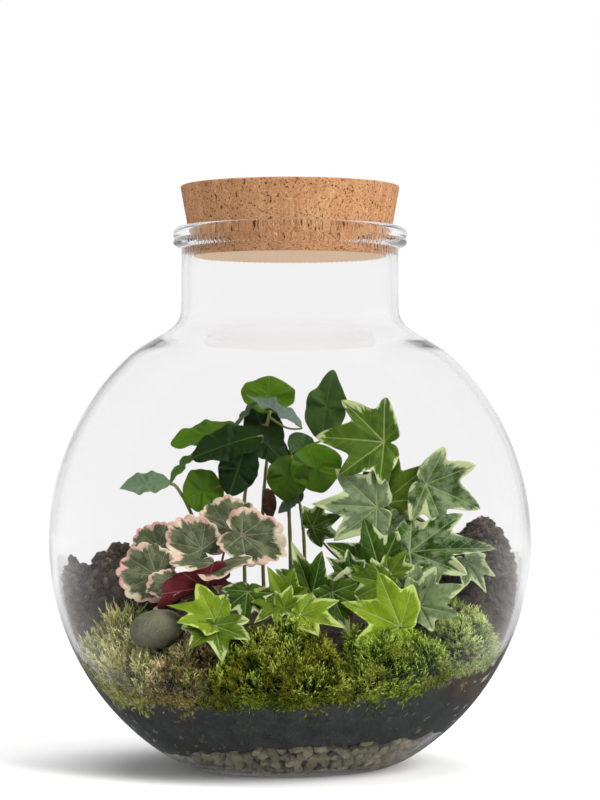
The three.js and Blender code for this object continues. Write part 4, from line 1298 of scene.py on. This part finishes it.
def stem_skin(name, low, high, spot):
    """Stems and leaf stalks: two tones that change along them, and small spots."""
    skin = Skin(name)
    spots = skin.mottle(700.0, 0.64, 0.05)
    base = skin.layered(skin.mix(skin.mottle(60.0, 0.5, 0.2), low, high), (spots, 0.5, spot))
    return skin.done(skin.dress(base, (spots, 0.45, 0.7), (spots, 0.0001, 0.4), 0.15))


def pale_floor():
    """A white studio floor with the faintest unevenness. Away from the jar it turns as bright as the sky,
    so that no horizon shows. Near the jar it is dark in mirrored light, so that the glass over the gravel
    stays clear."""
    skin = Skin("pale_floor")
    cloud = skin.mottle(3.0, 0.5, 0.4)
    white = skin.mix(cloud, (0.86, 0.86, 0.86, 1), (0.88, 0.88, 0.88, 1))
    path = skin.node("LightPath")
    mirrored = skin.times(path["Is Glossy Ray"], path["Is Reflection Ray"])
    near = skin.blend(mirrored, skin.dress(white, (cloud, 0.8, 0.9), gloss=0.0), skin.glow(0.12))
    away = skin.node("VectorMath", {0: skin.place}, operation="LENGTH")["Value"]
    return skin.done(skin.blend(skin.ranged(away, 0.3, 0.9), near, skin.glow(1.0)))


# Pieces

piece("blown_jar", body(*turned(JAR_PROFILE, JAR_SIDES, knurl)), [jar_glass()], "glass", ["glass_jar"])

cork = turned(cut_corners(CORK_PROFILE, 2), 250, cork_pits)
piece("cork_granules", body(*cork), [pressed_cork()], "cork", ["cork_stopper"])

draw = np.random.default_rng(3)
gravel = fine_gravel()
piece("gravel_stones", gravel_stones(draw), [gravel], "gravel", ["gravel_bed"], rounded=False)
core = bed(lambda x, y: 4.6 + 0 * x, lambda x, y: gravel_level(x) - 1.5, 60, 5, 5, 5.0, (0.5, 0.3))
# Painted shade: the core under the stones is near black, for the shadow in the gaps between them.
gap_shade = potting_soil("gravel_gap_shade", (22, 21, 14), (44, 42, 30), (70, 66, 50))
piece("gravel_core", body(*core), [gap_shade], "gravel")

DRY_SOIL = (24, 19, 17), (148, 130, 112)
soil = potting_soil("potting_soil", (40, 43, 42), (94, 96, 94), (136, 130, 116), DRY_SOIL)


def soil_foot(x, y):
    """Where the soil meets the gravel: the gravel's level, made uneven."""
    return gravel_level(x) + 1.3 * noise(np.stack([x, y, 0 * x], -1), 5, 8)


soil_skin = bed(soil_foot, soil_level, 360, 34, 46, -PRESSED["soil"], (1.1, 1.1))
piece("soil_skin", body(*soil_skin), [soil], "soil", ["soil_bed"])


def open_ground(corner, normal):
    """Where crumbs lie: most of them high up on the banks, some on the banks' steep sides against the
    glass, and few on the level ground and at the back."""
    bank = smooth((corner[:, 2] - 64) / 26) * (corner[:, 1] < 40)
    return np.where(normal[:, 2] > 0.2, 0.05 + 4 * bank, 1.4 * bank)


at, normal = picked(*soil_skin, 4700, draw, open_ground)
size = 0.5 + 2.4 * draw.uniform(0, 1, (len(at), 1)) ** 3.5
crumb = lumps(at + 0.55 * normal * size, size * draw.uniform(0.6, 1.2, (len(at), 3)), draw)
crumb["points"] = kept_in(crumb["points"], -PRESSED["crumbs"])
piece("soil_crumbs", crumb, [soil], "soil", rounded=False)

# For each moss: a foot colour, dark partly as painted shade, a leaf colour, a tip colour that is partly a
# painted highlight, and a stray colour.
MOSSES = {
    "long": moss_shoots("pale_long_moss", (34, 38, 8), (172, 180, 90), (255, 255, 190), (232, 224, 138)),
    "dry": moss_shoots("dry_moss", (16, 10, 0), (174, 154, 92), (255, 240, 182), (124, 134, 54)),
    "yellow": moss_shoots("yellow_green_moss", (2, 5, 0), (82, 106, 14), (222, 238, 108), (160, 160, 44)),
    "green": moss_shoots("green_moss", (2, 6, 0), (82, 114, 20), (206, 232, 98), (172, 180, 72)),
    "light": moss_shoots("light_moss", (50, 70, 20), (168, 190, 100), (238, 250, 170), (212, 224, 128)),
}
# Partly painted shade: the cushions' cores are near black, partly for the dark foot of the moss and partly for
# the shadow between the shoots.
moss_shade_floor = potting_soil("moss_shade_floor", (6, 8, 1), (22, 26, 6), (50, 50, 18))


def mossy(corner, normal):
    """Where shoots stand: all of a cushion but its underside, and its front down to the soil."""
    front = np.sum(unit(corner * [1, 1, 0]) * normal, 1) > 0.45
    return np.where(front, 1.3, normal[:, 2] > -0.15)


def straggling(start, end, count, draw):
    """Where moss has crept down between the soil and the glass: places on the wall, most of them close
    under the soil's edge and in patches, with a normal out and down."""
    degrees = draw.uniform(start, end, count)
    bearing = np.radians(degrees)
    depth = 8 * draw.uniform(0, 1, count) ** 2 * (0.5 + noise(degrees[:, None] * [1, 0, 0], 3.0, 14))
    z = along(SOIL_EDGE, degrees) + draw.uniform(0, 3, count) - np.maximum(0, depth)
    way = np.stack([np.sin(bearing), -np.cos(bearing), 0 * bearing], -1)
    return way * (bore(z) - 1.4)[:, None] + UP * z[:, None], unit(way - 0.7 * UP)


for name, start, end, rise, deep, count, way in CUSHIONS:
    core = cushion_core(start, end, rise, deep)
    at, normal = picked(*core, count, draw, mossy)
    patch = np.clip(0.5 + 0.7 * noise(at, 8, 9), 0, 1)
    ways = {"patch": patch, "high": clumps(at), "pressed_in": PRESSED["moss"]}
    grown = shoots(at, normal, draw, **ways, **MOSS_WAYS[way])
    low_at, low_normal = straggling(start, end, count // 6, draw)
    low_high = 0.25 + 0.4 * clumps(low_at)
    ways = {"patch": 0.5 + 0 * low_high, "high": low_high, "pressed_in": PRESSED["straggling moss"]}
    low = shoots(low_at, low_normal, draw, **ways, **MOSS_WAYS[way])
    slot = "dry_moss" if way == "dry" else "moss"
    whole = joined([grown, low, body(*core, 1)])
    piece(name + "_shoots", whole, [MOSSES[way], moss_shade_floor], slot, [name])


def wall_fibres(start, end, low, high, count, length, radius, draw):
    """Root fibres pressed against the glass: each wanders over the wall from a random place between two
    bearings and two heights, its heading bent by a steady curl."""
    bodies = []
    for _ in range(count):
        bearing, z = np.radians(draw.uniform(start, end)), draw.uniform(low, high)
        heading = draw.uniform(-0.9, 0.9) + draw.choice([0, np.pi])
        heading = heading + np.cumsum(draw.uniform(-0.3, 0.3) + draw.normal(0, 0.25, 7))
        step = length * draw.uniform(0.4, 1.3) / 6
        zs = np.clip(z + np.cumsum(step * np.sin(heading)), low - 3, high + 3)
        turn = bearing + np.cumsum(step * np.cos(heading)) / bore(zs)
        r = bore(zs) - 0.1
        line = np.stack([r * np.sin(turn), -r * np.cos(turn), zs], -1)
        points, faces = tube(line, radius * draw.uniform(0.6, 1.2) * np.linspace(1, 0.4, 7), 3)
        bodies.append(body(points, faces, tone=draw.uniform(0, 1, 3)))
    return bodies


def bank_fibres(x, y, across, deep, count, draw):
    """Fibres that lie on the soil's top and lift off it here and there: the soil's height along a bent
    line, with an arch."""
    bodies = []
    for _ in range(count):
        a, b = draw.normal(x, across), draw.normal(y, deep)
        heading = draw.uniform(0, 6.3) + np.cumsum(draw.normal(0, 0.35, 6))
        step = draw.uniform(0.6, 1.5)
        flat = np.array([a, b]) + step * np.cumsum(np.stack([np.cos(heading), np.sin(heading)], -1), axis=0)
        lift = 0.9 + draw.uniform(0, 1.2) * np.sin(np.linspace(0, np.pi, 6)) ** 2
        line = kept_in(np.column_stack([flat, soil_level(*flat.T) + lift]), 0.8)
        points, faces = tube(line, draw.uniform(0.1, 0.2) * np.linspace(1, 0.5, 6), 3)
        bodies.append(body(points, faces, tone=draw.uniform(0, 1, 3)))
    return bodies


fibres = [
    *wall_fibres(-70, 78, 21, 48, 190, 9, 0.2, draw), *wall_fibres(-40, -22, 17, 30, 26, 9, 0.3, draw),
    *wall_fibres(42, 74, 34, 50, 110, 8, 0.28, draw), *wall_fibres(-100, -78, 40, 90, 40, 8, 0.2, draw),
    *wall_fibres(80, 112, 55, 90, 40, 8, 0.2, draw), *wall_fibres(112, 260, 25, 80, 120, 9, 0.22, draw),
    *bank_fibres(-84, 0, 9, 20, 110, draw), *bank_fibres(94, -4, 9, 20, 110, draw),
    *bank_fibres(0, 40, 45, 28, 120, draw),
]
root_fibre = stem_skin("root_fibre", (84, 62, 46), (146, 128, 98), (60, 44, 34))
piece("soil_fibres", joined(fibres), [root_fibre], "soil")

PEBBLE_MIDDLE = np.array([-63, -52, 72])
PEBBLE_HALVES = np.array([13.5, 10, 9.5])


def pebble():
    """The river pebble: a ball with three half widths, slightly uneven, tipped eight degrees."""
    a = around(72)
    b = np.linspace(-np.pi / 2, np.pi / 2, 38)[1:-1, None]
    skin = np.stack([np.cos(b) * np.cos(a), np.cos(b) * np.sin(a), np.sin(b) + 0 * a], -1)
    skin = skin * (0.99 + 0.035 * noise(skin, 0.9, 12))[..., None]
    tip = np.radians(-8)
    turn = np.array([[np.cos(tip), 0, np.sin(tip)], [0, 1, 0], [-np.sin(tip), 0, np.cos(tip)]])
    rings = PEBBLE_MIDDLE + skin * PEBBLE_HALVES @ turn.T
    poles = [PEBBLE_MIDDLE + turn @ [0, 0, s * 0.98 * PEBBLE_HALVES[2]] for s in (-1, 1)]
    return closed(poles[0], rings, poles[1])


piece("river_pebble_stone", body(*pebble()), [smooth_pebble()], "pebble", ["river_pebble"])


def plant_skins(plant, upper, under, stem):
    """The materials of a plant: the upper and lower faces of its leaves and its stem."""
    return [
        leaf_skin(plant + "_upper", *upper), leaf_skin(plant + "_under", *under), stem_skin(*stem),
    ]


LEAVES = {
    "ivy": ("ivy_leaf", plant_skins(
        "ivy", (ivy_colours, IVY_VEINS, 0.016, (0.4, 0.55)), (ivy_under, IVY_VEINS, 0.02, (0.6, 0.75)),
        ("ivy_stem", (92, 104, 48), (124, 92, 62), (70, 60, 36)),
    )),
    "strawberry": ("saxifrage_leaf", plant_skins(
        "saxifrage", (saxifrage_colours, ROUND_VEINS, 0.022, (0.55, 0.7)),
        (saxifrage_under, ROUND_VEINS, 0.022, (0.5, 0.7), 0.15),
        ("saxifrage_stalk", (150, 62, 60), (186, 116, 92), (110, 40, 44)),
    )),
    "coffee": ("coffee_leaf", plant_skins(
        "coffee", (coffee_colours, FEATHER, 0.014, (0.28, 0.42), 0.15, 0.12),
        (coffee_under, FEATHER, 0.03, (0.45, 0.6)),
        ("coffee_stem", (106, 124, 58), (136, 126, 78), (92, 76, 46)),
    )),
}
for name, plant in PLANTS.items():
    slot, materials = LEAVES[name.split("_")[0]]
    piece(name + "_leaves", leafy_stem(plant), materials, slot, [name])


# Studio: a round white floor, a key light from the right, a fill from the left and one above

def disc(radius, rows, count):
    """A flat disc: rings about a middle point, turned to look up."""
    angle = around(count)
    r = radius * (np.arange(rows) + 1)[:, None] / rows
    rings = polar(r, angle, 0.0).reshape(-1, 3)
    i, j = np.arange(rows - 1)[:, None] * count, np.arange(count)
    near, after = 1 + i + j, 1 + i + (j + 1) % count
    quads = np.stack([near, near + count, after + count, near, after + count, after], -1).reshape(-1, 3)
    fan = np.stack([0 * j, 1 + j, 1 + (j + 1) % count], -1)
    return np.concatenate([[[0, 0, 0]], rings]), np.concatenate([fan, quads])


floor_points, floor_faces = disc(6000, 12, 96)
floor_mesh = bpy.data.meshes.new("studio_floor")
floor_mesh.from_pydata((floor_points * MM).tolist(), [], floor_faces.tolist())
floor_mesh.materials.append(pale_floor())
placed("studio_floor", floor_mesh)


def softbox(name, place, target, size, power):
    """A square light at a place, turned to a target, both in metres. In a reflection that is seen straight
    away it is dim, so that it lays no white patch on the glass."""
    data = bpy.data.lights.new(name, "AREA")
    data.shape = "SQUARE"
    data.size = size
    data.energy = power
    data.use_nodes = True
    net = Net(data.node_tree)
    mirrored = net.smaller(net.node("LightPath")["Glossy Depth"], 1.0)
    net.node("OutputLight", {"Surface": net.glow(net.ranged(mirrored, 0.0, 1.0, 1.0, 0.06))})
    lamp = placed(name, data)
    lamp.location = place
    away = np.array(place) - np.array(target)
    flat = float(np.hypot(away[0], away[1]))
    lamp.rotation_euler = Euler((float(np.arctan2(flat, away[2])), 0, float(np.arctan2(away[0], -away[1]))))


softbox("key_light", (2.1, -1.3, 1.9), (0, 0, 0.15), 2.0, 132)
softbox("fill_light", (-1.4, -2.0, 0.5), (0, 0, 0.15), 2.0, 17)
softbox("top_light", (0, 0.2, 2.4), (0, 0, 0.1), 2.2, 50)

world = bpy.data.worlds.new("white_studio")
world.use_nodes = True
net = Net(world.node_tree)
path = net.node("LightPath")
straight = net.larger(path["Is Camera Ray"], path["Is Transmission Ray"])
spread = net.ranged(straight, 0.0, 1.0, 0.48, 1.0)
mirrored = net.smaller(path["Glossy Depth"], 1.0)
deep = net.maths("GREATER_THAN", path["Transmission Depth"], 3.5)
glance = net.ranged(deep, 0.0, 1.0, 0.9, 0.72)
strength = net.ranged(mirrored, 0.0, 1.0, spread, glance)
sky = net.node("Background", {"Color": (1, 1, 1, 1), "Strength": strength})
net.node("OutputWorld", {"Surface": sky[0]})
bpy.context.scene.world = world
